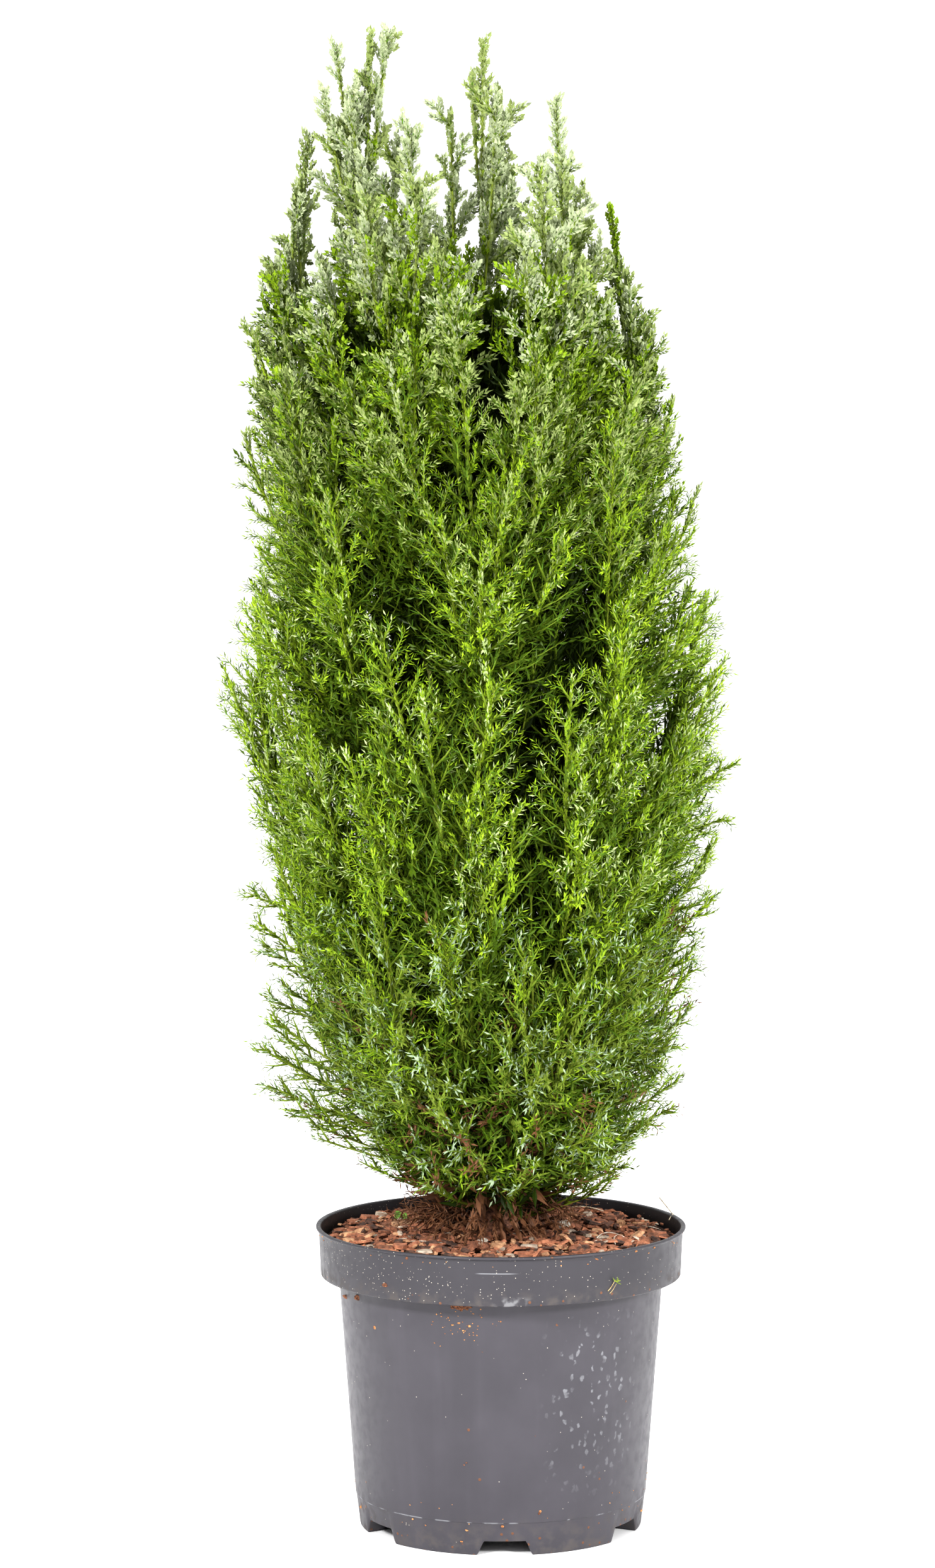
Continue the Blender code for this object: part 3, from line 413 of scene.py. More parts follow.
def flakes_at(middle, normal, reach, rng):
    """Flat broken flakes at places, each facing along a unit vector: a six-cornered outline with
    random corner radii, stretched, with a smaller top. Points as (flake, 14, 3): two rims of six
    and the two middles."""
    count = len(reach)
    corner = math.tau * np.arange(6) / 6 + rng.uniform(-0.3, 0.3, (count, 6))
    long = rng.uniform(0.65, 1.0, (count, 6)) * reach[:, None]
    slim = rng.uniform(0.40, 0.95, (count, 1))
    rim = np.stack([long * np.cos(corner), long * np.sin(corner) * slim, np.zeros((count, 6))], -1)
    thick = (reach * rng.uniform(0.14, 0.34, count))[:, None, None] * np.array([0.0, 0.0, 0.5])
    shrink = rng.uniform(0.72, 0.95, (count, 1, 1))
    top, foot = rim * shrink + thick, rim - thick
    flake = np.concatenate([top, foot, top.mean(1, keepdims=True), foot.mean(1, keepdims=True)], axis=1)
    spin = rng.uniform(0.0, math.tau, count)
    side = np.stack([np.cos(spin), np.sin(spin), np.full(count, 0.1)], axis=-1)
    side = side - normal * (side * normal).sum(-1, keepdims=True)
    side /= np.linalg.norm(side, axis=-1, keepdims=True)
    axes = np.stack([side, np.cross(normal, side), normal], axis=1)
    return np.einsum("cpi,cij->cpj", flake, axes) + middle[:, None, :]


def bark_chips(count, rng):
    """The mulch's flakes: spread evenly over the compost, a few large among many small, and tilted."""
    reach = CHIP_LEAST + (CHIP_LARGEST - CHIP_LEAST) * rng.uniform(0.0, 1.0, count) ** 2.2
    far = np.sqrt(rng.uniform(0.0, 1.0, count)) * (SOIL_EDGE_RADIUS - 0.0012 - reach)
    turn = rng.uniform(0.0, math.tau, count)
    tilt, lean = np.abs(rng.normal(0.0, 0.34, count)), rng.uniform(0.0, math.tau, count)
    normal = np.stack([np.sin(tilt) * np.cos(lean), np.sin(tilt) * np.sin(lean), np.cos(tilt)], -1)
    layer = rng.uniform(-0.0016, 0.0026, count)
    middle = np.stack([POT_X + far * np.cos(turn), far * np.sin(turn), mulch_height(far) + layer], -1)
    return flakes_at(middle, normal, reach, rng)


# A flake's faces: a fan over each of its two middles, and a rim of six sides
corner, beside = np.arange(6), (np.arange(6) + 1) % 6
FLAKE_FACES = np.concatenate([np.stack(face, axis=-1) for face in [
    (corner, beside, np.full(6, 12)), (beside + 6, corner + 6, np.full(6, 13)),
    (corner, corner + 6, beside + 6), (corner, beside + 6, beside)]])


def copies_of(name, shapes, faces, smooth=False):
    """A mesh object of many like shapes: each shape's faces count on from those of the last."""
    start = np.arange(len(shapes))[:, None, None] * shapes.shape[1]
    return piece_of(name, shapes.reshape(-1, 3), (faces + start).reshape(-1, faces.shape[1]), smooth)


def bark_material(name, dark, light, scale):
    """Dry bark: two tones of one colour in fibrous noise, and a bump that follows it."""
    s = Surface(name)
    grain = s.noise(s.place(), scale, 6.0, Roughness=0.65)
    colour = s.mix(s.ramp(grain, 0.36, 0.66), (*dark, 1.0), (*light, 1.0))
    return s.done(colour, 0.9, grain, 0.6, 0.0008)


damp = bark_material("damp_compost", (0.030, 0.012, 0.007), (0.130, 0.052, 0.028), 420.0)
finished(piece_of("compost", *compost()), damp, "bark_mulch", "soil")
flakes = bark_chips(CHIP_COUNT, np.random.default_rng(21))
ends = (np.cumsum([0.0] + [share for share, *_ in CHIP_TONES.values()]) * CHIP_COUNT).astype(int)
for (name, (_, dark, light)), first, last in zip(CHIP_TONES.items(), ends, ends[1:]):
    finished(copies_of(name, flakes[first:last], FLAKE_FACES),
             bark_material(name + "_bark", dark, light, 260.0), "bark_mulch")


# ---- The trunk
# One slender trunk runs up the middle, bowed a little to the left, with thin reddish-brown bark that
# peels in long upright fibres, and a short flare where it meets the mulch.

TRUNK_TOP_Z, TRUNK_BOUGHS_Z, TRUNK_SUNK = 0.70, 0.232, 0.004
TRUNK_FOOT_OFFSET, TRUNK_TOP_OFFSET, TRUNK_BOW = -0.004, -0.012, -0.018
FLARE_RADIUS, FLARE_HEIGHT = 0.0150, 0.016
TRUNK_FOOT_RADIUS, TRUNK_TOP_RADIUS, TAPER_POWER = 0.0092, 0.0021, 0.8
TRUNK_SIDES, TRUNK_RELIEF = 40, 0.13
FINE_FIBRE, COARSE_FIBRE, FIBRE_STRETCH = 0.0016, 0.0045, np.array([1.0, 1.0, 0.11])


def trunk_point(height):
    """The axis: a straight line from foot to top, less a bow of sin^2 of the share of the way up."""
    rise = (height - SOIL_TOP_Z) / (TRUNK_TOP_Z - SOIL_TOP_Z)
    bow = TRUNK_BOW * np.sin(math.pi * np.clip(rise, 0.0, 1.0)) ** 2
    x = POT_X + TRUNK_FOOT_OFFSET + (TRUNK_TOP_OFFSET - TRUNK_FOOT_OFFSET) * rise + bow
    return np.stack([x, np.zeros_like(x), height + np.zeros_like(x)], axis=-1)


def trunk_radius(height):
    """A taper with the share of the way up to the power 0.8, and a flare that dies away upwards."""
    rise = np.clip((height - SOIL_TOP_Z) / (TRUNK_TOP_Z - SOIL_TOP_Z), 0.0, 1.0)
    taper = TRUNK_FOOT_RADIUS + (TRUNK_TOP_RADIUS - TRUNK_FOOT_RADIUS) * rise ** TAPER_POWER
    return taper + (FLARE_RADIUS - TRUNK_FOOT_RADIUS) * np.exp(-(height - SOIL_TOP_Z) / FLARE_HEIGHT)


def unit(vectors):
    """The vectors at a length of one."""
    return vectors / np.maximum(np.linalg.norm(vectors, axis=-1, keepdims=True), 1e-12)


def across(direction):
    """Two unit vectors square to each direction and to each other, turned as little as can be."""
    guide = np.where(np.abs(direction[..., :1]) < 0.8, [1.0, 0.0, 0.0], [0.0, 1.0, 0.0])
    first = np.cross(direction, guide)
    first /= np.linalg.norm(first, axis=-1, keepdims=True)
    return first, np.cross(direction, first)


def turned(first, second, turn):
    """The first vector turned towards the second, which is square to it: first cos + second sin."""
    return first * np.cos(turn)[..., None] + second * np.sin(turn)[..., None]


def spokes(direction, sides):
    """Unit vectors evenly all round each direction and square to it."""
    first, second = across(direction)
    return turned(first[..., None, :], second[..., None, :], math.tau * np.arange(sides) / sides)


def limb_rings(line, radii, sides, relief):
    """Rings of points round a line: the radius at each ring times 1 + relief times fibrous lumps,
    which are lumps in a space where the way along the line is pressed to a ninth."""
    flat = spokes(unit(np.gradient(line, axis=-2)), sides) * radii[..., None, None]
    pressed = flat + line[..., None, :] * FIBRE_STRETCH
    fibres = 0.6 * lumps(pressed, FINE_FIBRE, 7) + 0.4 * lumps(pressed, COARSE_FIBRE, 8)
    return line[..., None, :] + flat * (1.0 + relief * fibres)[..., None]


def tubes(name, rings, smooth=True):
    """A mesh object of closed tubes from their rings, as (tube, ring, side, 3). A fan round the
    middle of the first ring and another round the middle of the last close the two ends."""
    rows, columns = rings.shape[1:3]
    middles = rings[:, [0, -1]].mean(2)
    sides = grid_faces(rows, columns)
    column, last = np.arange(columns), (rows - 1) * columns
    beside = (column + 1) % columns
    foot = np.stack([beside, np.full(columns, rows * columns), column], axis=-1)
    top = np.stack([last + column, np.full(columns, rows * columns + 1), last + beside], axis=-1)
    faces = np.concatenate([sides[:, [0, 1, 2]], sides[:, [0, 2, 3]], foot, top])[:, ::-1]
    points = np.concatenate([rings.reshape(len(rings), -1, 3), middles], axis=1)
    return copies_of(name, points, faces, smooth)


trunk_z = np.concatenate([np.linspace(SOIL_TOP_Z - TRUNK_SUNK, TRUNK_BOUGHS_Z, 60)[:-1],
                          np.linspace(TRUNK_BOUGHS_Z, TRUNK_TOP_Z, 240)])
trunk_rings = limb_rings(trunk_point(trunk_z)[None], trunk_radius(trunk_z)[None],
                         TRUNK_SIDES, TRUNK_RELIEF)
trunk_bark = bark_material("trunk_bark", (0.050, 0.020, 0.012), (0.260, 0.120, 0.068), 500.0)
finished(tubes("trunk_dressed", trunk_rings), trunk_bark, "trunk_bark", "trunk")


# ---- The boughs
# Boughs leave the trunk one above the other, bend out and then up, and taper to the stems that carry
# the foliage. Their bark is brown near the trunk and olive green further out, where it is young.

CROWN_FOOT_Z, CROWN_WIDEST_Z, CROWN_TOP_Z = 0.22, 0.52, 0.95
CROWN_REACH, CROWN_FOOT_DRAW_IN = 0.155, 0.070
CROWN_LOW_POWER, CROWN_HIGH_POWER = 3.0, 2.5
CROWN_SHIFT, CROWN_LEAN = -0.008, -0.036
BOUGH_SHARE_OF_TRUNK, BOUGH_TIP_RADIUS = 0.62, 0.0025
BOUGH_BEND_OUT, BOUGH_BEND_UP = 0.62, 0.34
BOUGH_RINGS, BOUGH_SIDES, BOUGH_RELIEF = 44, 12, 0.12
YOUTH_FROM_Z, YOUTH_SPAN = 0.30, 0.35

# Tiers of masses: count, height of the tips, how far every other one is lower, where the limbs leave
# the trunk, the bough's end as a share of the crown's reach and a height, half width, first azimuth
TIERS = {
    "low": (6, 0.375, 0.050, (0.196, 0.222), None, 0.066, 20),
    "middle": (7, 0.575, 0.050, (0.236, 0.290), (0.42, 0.335), 0.062, 0),
    "upper": (6, 0.755, 0.045, (0.310, 0.372), (0.48, 0.510), 0.056, 30),
}
LEAVE_STEP = 3

# Each leader's tip, in mm from the foot of the pot's axis, and how high its bough leaves the trunk
LEADERS = {
    "left": ((-80, -5, 918), 0.398), "right": ((33, -15, 877), 0.422),
    "far_left": ((-119, 10, 857), 0.386), "front_left": ((-54, -55, 855), 0.434),
    "right_shoulder": ((68, 15, 813), 0.410), "front_right": ((22, -60, 832), 0.446),
    "back_left": ((-65, 65, 860), 0.458), "back_right": ((5, 60, 840), 0.470),
}
MIDDLE_LEADER_TIP = (-11, 0, 913)
LEADER_LENGTH, LEADER_WIDTH, LEADER_FOOT_IN = 0.25, 0.033, 0.10

# The crown has filled out unevenly: heights in mm, and its reach on the left and right in per cent
FULL_Z, FULL_LEFT, FULL_RIGHT = (np.array([
    (225, 80, 92), (250, 76, 92), (275, 76, 94), (300, 80, 90), (330, 82, 90), (365, 82, 89),
    (415, 87, 93), (432, 86, 95), (460, 87, 98), (490, 90, 104), (512, 100, 106), (558, 99, 102),
    (606, 94, 92), (664, 93, 94), (740, 100, 94)]) / [1000, 100, 100]).T
FULL_LUMPS, FULL_LUMP_SIZE = 0.05, 0.040


def placed(rows, parts=1000):
    """The places whose distances from the foot of the pot's axis are given in parts of a metre."""
    return np.array(rows) / parts + [POT_X, 0.0, 0.0]


def outwards(azimuth):
    """Level unit vectors at azimuths."""
    return np.stack([np.cos(azimuth), np.sin(azimuth), np.zeros_like(azimuth)], axis=-1)


def crown_axis(height):
    """The crown's middle: it leans to -X with the square of the share of the way up."""
    rise = (height - SOIL_TOP_Z) / (CROWN_TOP_Z - SOIL_TOP_Z)
    x = POT_X + CROWN_SHIFT + CROWN_LEAN * rise ** 2
    return np.stack([x, np.zeros_like(x), height + np.zeros_like(x)], axis=-1)


def crown_reach(height):
    """How far the tips stand out: the full reach at the widest height, less a cubic draw in below,
    and falling to nothing at the top by 1 - share^2.5."""
    below = np.clip((CROWN_WIDEST_Z - height) / (CROWN_WIDEST_Z - CROWN_FOOT_Z), 0.0, 1.15)
    above = np.clip((height - CROWN_WIDEST_Z) / (CROWN_TOP_Z - CROWN_WIDEST_Z), 0.0, 1.0)
    low = CROWN_REACH - CROWN_FOOT_DRAW_IN * below ** CROWN_LOW_POWER
    return np.where(height < CROWN_WIDEST_Z, low, CROWN_REACH * (1.0 - above ** CROWN_HIGH_POWER))


def filled_reach(place):
    """The reach at a place's height times how full the crown is there: 1, changed on the left and on
    the right by the tables, as the square of how far the place faces that way, and random lumps."""
    height = place[..., 2]
    out = unit((place - crown_axis(height)) * np.array([1.0, 1.0, 0.0]))
    left = (np.interp(height, FULL_Z, FULL_LEFT) - 1.0) * np.clip(-out[..., 0], 0.0, 1.0) ** 2
    right = (np.interp(height, FULL_Z, FULL_RIGHT) - 1.0) * np.clip(out[..., 0], 0.0, 1.0) ** 2
    ring = out * 0.10 + height[..., None] * np.array([0.0, 0.0, 1.0])
    return crown_reach(height) * (1.0 + left + right + FULL_LUMPS * lumps(ring, FULL_LUMP_SIZE, 11))


def curve_at(curve, share):
    """A place on a curve of three points: start (1-s)^2 + bend 2 s (1-s) + end s^2."""
    s = np.asarray(share)[..., None]
    start, bend, end = curve[..., 0, :], curve[..., 1, :], curve[..., 2, :]
    return start * (1 - s) ** 2 + bend * 2 * s * (1 - s) + end * s ** 2


def heading_at(curve, share):
    """The unit direction of such a curve: (bend - start)(1-s) + (end - bend) s."""
    s = np.asarray(share)[..., None]
    first, last = curve[..., 1, :] - curve[..., 0, :], curve[..., 2, :] - curve[..., 1, :]
    return unit(first * (1 - s) + last * s)


def bough_curve(foot, end):
    """From the trunk out to a bend low down, then up to the foot of the mass."""
    bend = foot + BOUGH_BEND_OUT * (end - foot)
    bend[2] = foot[2] + BOUGH_BEND_UP * (end[2] - foot[2])
    return np.array([foot, bend, end])


bough_names, bough_curves, stem_feet = [], [], []
for tier, (count, tip_z, stagger, (low, high), bough, width, first) in TIERS.items():
    for number in range(count):
        lower = stagger * (number % 2)
        side = outwards(math.radians(first) + math.tau * number / count)
        order = (LEAVE_STEP * (number + 1)) % (count + 1) - 1
        foot = trunk_point(np.float64(low + (high - low) * order / (count - 1)))
        tip_height = np.float64(tip_z - lower)
        tip = crown_axis(tip_height) + side * crown_reach(tip_height)
        along = unit(tip - foot)
        if bough is not None:
            end_height = np.float64(bough[1] - 0.5 * lower)
            end = crown_axis(end_height) + side * crown_reach(end_height) * bough[0]
            bough_names.append(f"bough_{tier}_{number + 1}")
            bough_curves.append(bough_curve(foot, end))
            along, foot = heading_at(bough_curves[-1], 1.0), end
        stem_feet.append((tier, foot, along, tip, width))
for name, (tip, leave) in LEADERS.items():
    tip, foot = placed(tip), trunk_point(np.float64(leave))
    end = tip + LEADER_FOOT_IN * (foot - tip)
    end[2] = tip[2] - LEADER_LENGTH
    bough_names.append("bough_leader_" + name)
    bough_curves.append(bough_curve(foot, end))
    stem_feet.append(("leader", end, heading_at(bough_curves[-1], 1.0), tip, LEADER_WIDTH))
below_top, trunk_top = trunk_point(np.array([TRUNK_TOP_Z - 0.01, TRUNK_TOP_Z]))
stem_feet.append(("leader", trunk_top, unit(trunk_top - below_top), placed(MIDDLE_LEADER_TIP),
                  LEADER_WIDTH))
bough_curves = np.array(bough_curves)


def young_bark():
    """Bark by its age along the limb: fibrous brown at the foot and smooth olive green at the end."""
    s = Surface("bough_bark")
    grain = s.noise(s.place(), 520.0, 5.0)
    age = s.node("Attribute", {}, attribute_name="youth").outputs["Fac"]
    tone = s.ramp(grain, 0.36, 0.66)
    brown = s.mix(tone, (0.070, 0.028, 0.015, 1.0), (0.280, 0.130, 0.070, 1.0))
    green = s.mix(tone, (0.120, 0.130, 0.026, 1.0), (0.270, 0.300, 0.070, 1.0))
    patchy = s.plus(s.times(s.calc('SUBTRACT', grain, 0.5), 0.5), age)
    return s.done(s.mix(s.ramp(patchy, 0.35, 0.75), brown, green), 0.75, grain, 0.5, 0.0006)


share = np.linspace(0.0, 1.0, BOUGH_RINGS)
bough_line = curve_at(bough_curves[:, None], share[None])
bough_thick = BOUGH_SHARE_OF_TRUNK * trunk_radius(bough_curves[:, 0, 2])[:, None]
bough_radii = bough_thick + (BOUGH_TIP_RADIUS - bough_thick) * share[None] ** TAPER_POWER
boughs = tubes("boughs", limb_rings(bough_line, bough_radii, BOUGH_SIDES, BOUGH_RELIEF))
youth = 0.55 * share + 0.55 * np.clip((bough_line[..., 2] - YOUTH_FROM_Z) / YOUTH_SPAN, 0.0, 1.0)
youth = np.concatenate([youth.repeat(BOUGH_SIDES, 1), youth[:, [0, -1]]], axis=1)
boughs.data.attributes.new("youth", 'FLOAT', 'POINT').data.foreach_set("value", youth.ravel())
finished(boughs, young_bark(), "bough_bark", *bough_names)


# ---- The stems
# Each mass of foliage hangs on one stem with two to five upright side shoots, and finer shoots leave
# every limb on all sides and turn up beside it. Young wood is round, smooth and yellow green.

STEM_BEND, STEM_DRAW_IN = 0.42, 0.012
STEM_FOOT_RADIUS, SHOOT_FOOT_RADIUS, STEM_TIP_RADIUS = 0.0019, 0.0011, 0.0004
SHOOT_BEND_UP, SHOOT_BEND_OUT = 0.30, 0.75
STEM_RINGS, STEM_SIDES = 10, 5
SPIRAL = math.radians(137.508)

# Side shoots: where each leaves the stem, the share of it that the tip stands beside, its turn from
# straight out, and its spread as a share of the mass's half width
PAIR = [(0.16, 0.72, 76, 0.82), (0.30, 0.86, -72, 0.78)]
OUTER = [(0.08, 0.42, 4, 1.00)]
LEADER_FINER = [(0.05, 0.58, 170, 0.62), (0.10, 0.48, -20, 0.80), (0.40, 0.88, 40, 0.42)]
SIDE_SHOOTS = {"low": PAIR, "middle": PAIR + OUTER, "upper": PAIR + OUTER,
               "leader": PAIR + LEADER_FINER}

# Finer shoots at the foot, round the outside, behind that and inside: how many, the heights of the
# lowest and the highest tip, how far out the tips stand as shares of the crown's reach, how far below
# its tip each one leaves a limb, and how far in
LAYERS = [
    (60, 0.215, 0.325, (0.80, 1.05), 0.045, 0.12),
    (150, 0.310, 0.755, (0.76, 0.93), 0.120, 0.60),
    (80, 0.300, 0.740, (0.50, 0.72), 0.130, 0.62),
    (150, 0.250, 0.780, (0.06, 0.52), 0.140, 0.60),
]
INNER_LAYERS = 2

# Single tips that stand clear of the rest, in mm: across from the pot's axis, to the back, and up
CLEAR_TIPS = placed([
    (-101, 0, 910), (-70, -4, 919), (-108, -12, 882), (-18, 12, 893), (-31, -4, 868),
    (55, -20, 785), (90, -4, 742), (-142, 4, 776), (-152, -8, 739), (104, 6, 691), (119, -6, 640),
    (-70, -60, 790), (-20, -75, 770), (30, -70, 752), (-105, -40, 770), (-40, 80, 800),
    (50, 60, 770), (-100, 50, 790), (0, 85, 760), (-150, -10, 566), (-149, 10, 520),
    (-136, -6, 395), (120, 4, 548), (124, -8, 476)])
CLEAR_DROP, CLEAR_IN = 0.095, 0.75

# Low sprays that reach out almost level beyond the rest, most of them on the left
LOW_TIPS = placed([
    (-157, 6, 394), (-150, -12, 378), (-148, 10, 361), (-134, -16, 339), (-144, 4, 330),
    (-141, -14, 318), (-140, 12, 308), (-149, -4, 299), (-132, 16, 287), (-144, -10, 276),
    (-137, 8, 270), (-128, -16, 262), (-119, 4, 251), (-113, -10, 243), (-88, 6, 226),
    (105, 2, 259), (88, -12, 252), (79, -4, 226), (74, 12, 217), (119, -8, 360), (117, 10, 321),
    (131, 0, 390), (141, -6, 474), (138, 12, 440), (60, -105, 262), (-40, -118, 280),
    (10, 122, 270), (-78, 100, 262), (82, 85, 290), (30, 118, 330), (-60, 122, 350)])
LOW_DROP, LOW_IN = 0.048, 0.30

growth = np.random.default_rng(5)


def within_crown(place, spare=0.0):
    """The place, drawn in level to the crown's reach where it stands further out."""
    axis = crown_axis(place[..., 2])
    out = place - axis
    far = np.maximum(np.linalg.norm(out, axis=-1), 1e-9)
    return axis + out * np.minimum(1.0, (filled_reach(place) + spare) / far)[..., None]


def side_shoots(stem, width, plan):
    """The side shoots of one stem: each leaves it, spreads by a share of the width and turns up."""
    out = stem[2] - crown_axis(stem[2][2])
    made = []
    for leave, level, turn, spread in plan:
        side = outwards(math.atan2(out[1], out[0]) + math.radians(turn)) * width * spread
        bend = curve_at(stem, leave + SHOOT_BEND_UP * (level - leave)) + side * SHOOT_BEND_OUT
        made.append([curve_at(stem, leave), bend, within_crown(curve_at(stem, level) + side)])
    return made


def spread_tips(count, low, high, shares):
    """Evenly spread tips: the heights rise by even steps and the azimuths by the golden angle."""
    number = np.arange(count)
    height = low + (high - low) * (number + 0.5) / count + growth.normal(0.0, 0.006, count)
    side = outwards(number * SPIRAL + growth.normal(0.0, 0.12, count))
    reach = filled_reach(crown_axis(height) + side)
    return crown_axis(height) + side * (reach * growth.uniform(*shares, count))[:, None]


def shoots_to(tip, limb_points, drop, share_out):
    """Upright shoots to given tips. Each starts at the limb point nearest to a place that is a drop
    below its tip and at a share of its distance from the crown's middle, and turns up on the way."""
    height = tip[:, 2]
    fall = np.minimum(drop * growth.uniform(0.85, 1.15, len(tip)), 0.85 * (height - SOIL_TOP_Z - 0.004))
    axis = crown_axis(height)
    wish = axis + (tip - axis) * share_out - fall[:, None] * np.array([0.0, 0.0, 1.0])
    gap = np.linalg.norm(limb_points[None] - wish[:, None], axis=-1)
    gap = np.where(limb_points[None, :, 2] > height[:, None] - 0.4 * fall[:, None], 9.0, gap)
    foot = limb_points[np.argmin(gap, axis=1)]
    bend = foot + (tip - foot) * np.array([0.60, 0.60, 0.44])
    return np.stack([foot, bend, tip], axis=1)


stem_curves, stem_thick = [], []
for tier, foot, along, tip, width in stem_feet:
    if tier != "leader":
        tip = within_crown(tip, -STEM_DRAW_IN)
    stem = np.array([foot, foot + along * STEM_BEND * np.linalg.norm(tip - foot), tip])
    branches = side_shoots(stem, width, SIDE_SHOOTS[tier])
    stem_curves += [stem, *branches]
    stem_thick += [STEM_FOOT_RADIUS] + [SHOOT_FOOT_RADIUS] * len(branches)
first_low = len(stem_curves) + len(CLEAR_TIPS)
stem_curves = np.array(stem_curves)
limb_points = np.concatenate([
    trunk_point(np.linspace(0.187, TRUNK_TOP_Z, 60)),
    curve_at(bough_curves[:, None], np.linspace(0.15, 1.0, 24)[None]).reshape(-1, 3),
    curve_at(stem_curves[:, None], np.linspace(0.05, 0.70, 14)[None]).reshape(-1, 3)])
finer = [shoots_to(CLEAR_TIPS, limb_points, CLEAR_DROP, CLEAR_IN),
         shoots_to(LOW_TIPS, limb_points, LOW_DROP, LOW_IN)]
finer += [shoots_to(spread_tips(*plan), limb_points, drop, share_out)
          for *plan, drop, share_out in LAYERS]
first_inner = len(stem_curves) + sum(len(layer) for layer in finer[:-INNER_LAYERS])
stem_curves = np.concatenate([stem_curves, *finer])
stem_number = np.arange(len(stem_curves))
stem_low = (stem_number >= first_low) & (stem_number < first_low + len(LOW_TIPS))
stem_thick = np.array(stem_thick + [SHOOT_FOOT_RADIUS] * (len(stem_curves) - len(stem_thick)))


def green_material(name, colour, roughness=0.42):
    """Living green of one plain colour, with the low sheen of its wax."""
    s = Surface(name)
    s.shader.inputs["Specular IOR Level"].default_value = 0.12
    return s.done((*colour, 1.0), roughness)


def tapering(curves, foot_radius, tip_radius, rings, sides):
    """Rings on curves of three points, each curve thinning evenly from its foot to its tip."""
    share = np.linspace(0.0, 1.0, rings)
    line = curve_at(curves[:, None], share[None])
    ring = spokes(heading_at(curves[:, None], share[None]), sides)
    radii = foot_radius[:, None] + (tip_radius - foot_radius)[:, None] * share
    return line[..., None, :] + ring * radii[..., None, None]


masses = sorted(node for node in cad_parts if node.startswith("foliage_"))


def grown(piece, material):
    """A piece of the foliage, which stands for all of its masses together."""
    finished(piece, material, "foliage", *masses)


stem_rings = tapering(stem_curves, stem_thick, STEM_TIP_RADIUS, STEM_RINGS, STEM_SIDES)
grown(tubes("stems", stem_rings), green_material("stem_green", (0.150, 0.190, 0.022), 0.55))


# ---- The twigs
# Twigs leave the stems and the boughs, point up and out, and carry finer twiglets on both sides, so
# that each makes a flat feathery spray. Each stem's tip ends in one too, and short dead brown ones are
# left low on the trunk, where the light no longer reaches.

TWIG_PITCH, TWIG_PITCH_INSIDE, TWIG_LEAST = 0.0040, 0.0078, 0.009
PITCH_CHANGE = ((0.27, 0.52, 0.66, 0.80), (1.35, 1.0, 1.2, 2.5))
LOW_PITCH, LOW_REACH, LOW_FREE = 0.0062, 0.60, 0.080
TWIG_RADIUS, TWIG_MIDDLE_RADIUS, TWIGLET_RADIUS = 0.00085, 0.00075, 0.00060
TWIGLET_LEAST, TWIGLET_MOST, TWIGLET_LEAN_LOST = 0.0040, 0.45, 12
HIDDEN_DEPTH, HIDDEN_BELOW_Z, HIDDEN_SPARSER = 0.56, 0.74, 1.5
DEAD_TWIGS = 60

# Sizes at the foot, the middle and the top of the crown. Leans are in degrees, and a lean lost is how
# much less it is at the limb's tip. A taper is the power of 1 - the share of the way along
TWIG_LEAN, TWIG_LEAN_LOST = (54, 60, 48), (20, 16, 10)
TWIG_REACH, TWIG_REACH_ADDED, TWIG_TAPER = (0.042, 0.037, 0.021), (1.0, 1.0, 1.2), (0.50, 0.50, 0.32)
TWIGLET_PITCH, TWIGLET_LEAN = (0.0125, 0.0105, 0.0042), (50, 42, 36)
TWIGLET_REACH, TWIGLET_TAPER = (0.0200, 0.0085, 0.0060), (0.60, 0.60, 0.25)

# On a limb whose twigs lie in a fan, their turns from its sides to outwards, in half turns: above
# FAN_FROM_Z on its two sides and every third outwards, and on the low sprays above and below it
FAN_FROM_Z = 0.34
FAN, LOW_FAN = np.array([0.0, 1.0, 0.5, 0.0, 1.0, 0.5]), np.array([0.5, 1.5, 0.0, 0.5, 1.5, 1.0])


def by_height(height, sizes):
    """A size that changes up the crown, blended between those at three heights."""
    return np.interp(height, [0.27, 0.52, 0.80], sizes)


def level_side(plane, ahead):
    """The unit vector in a spray's plane that is square to each direction in it."""
    return unit(plane - ahead * (plane * ahead).sum(-1, keepdims=True) + 1e-6)


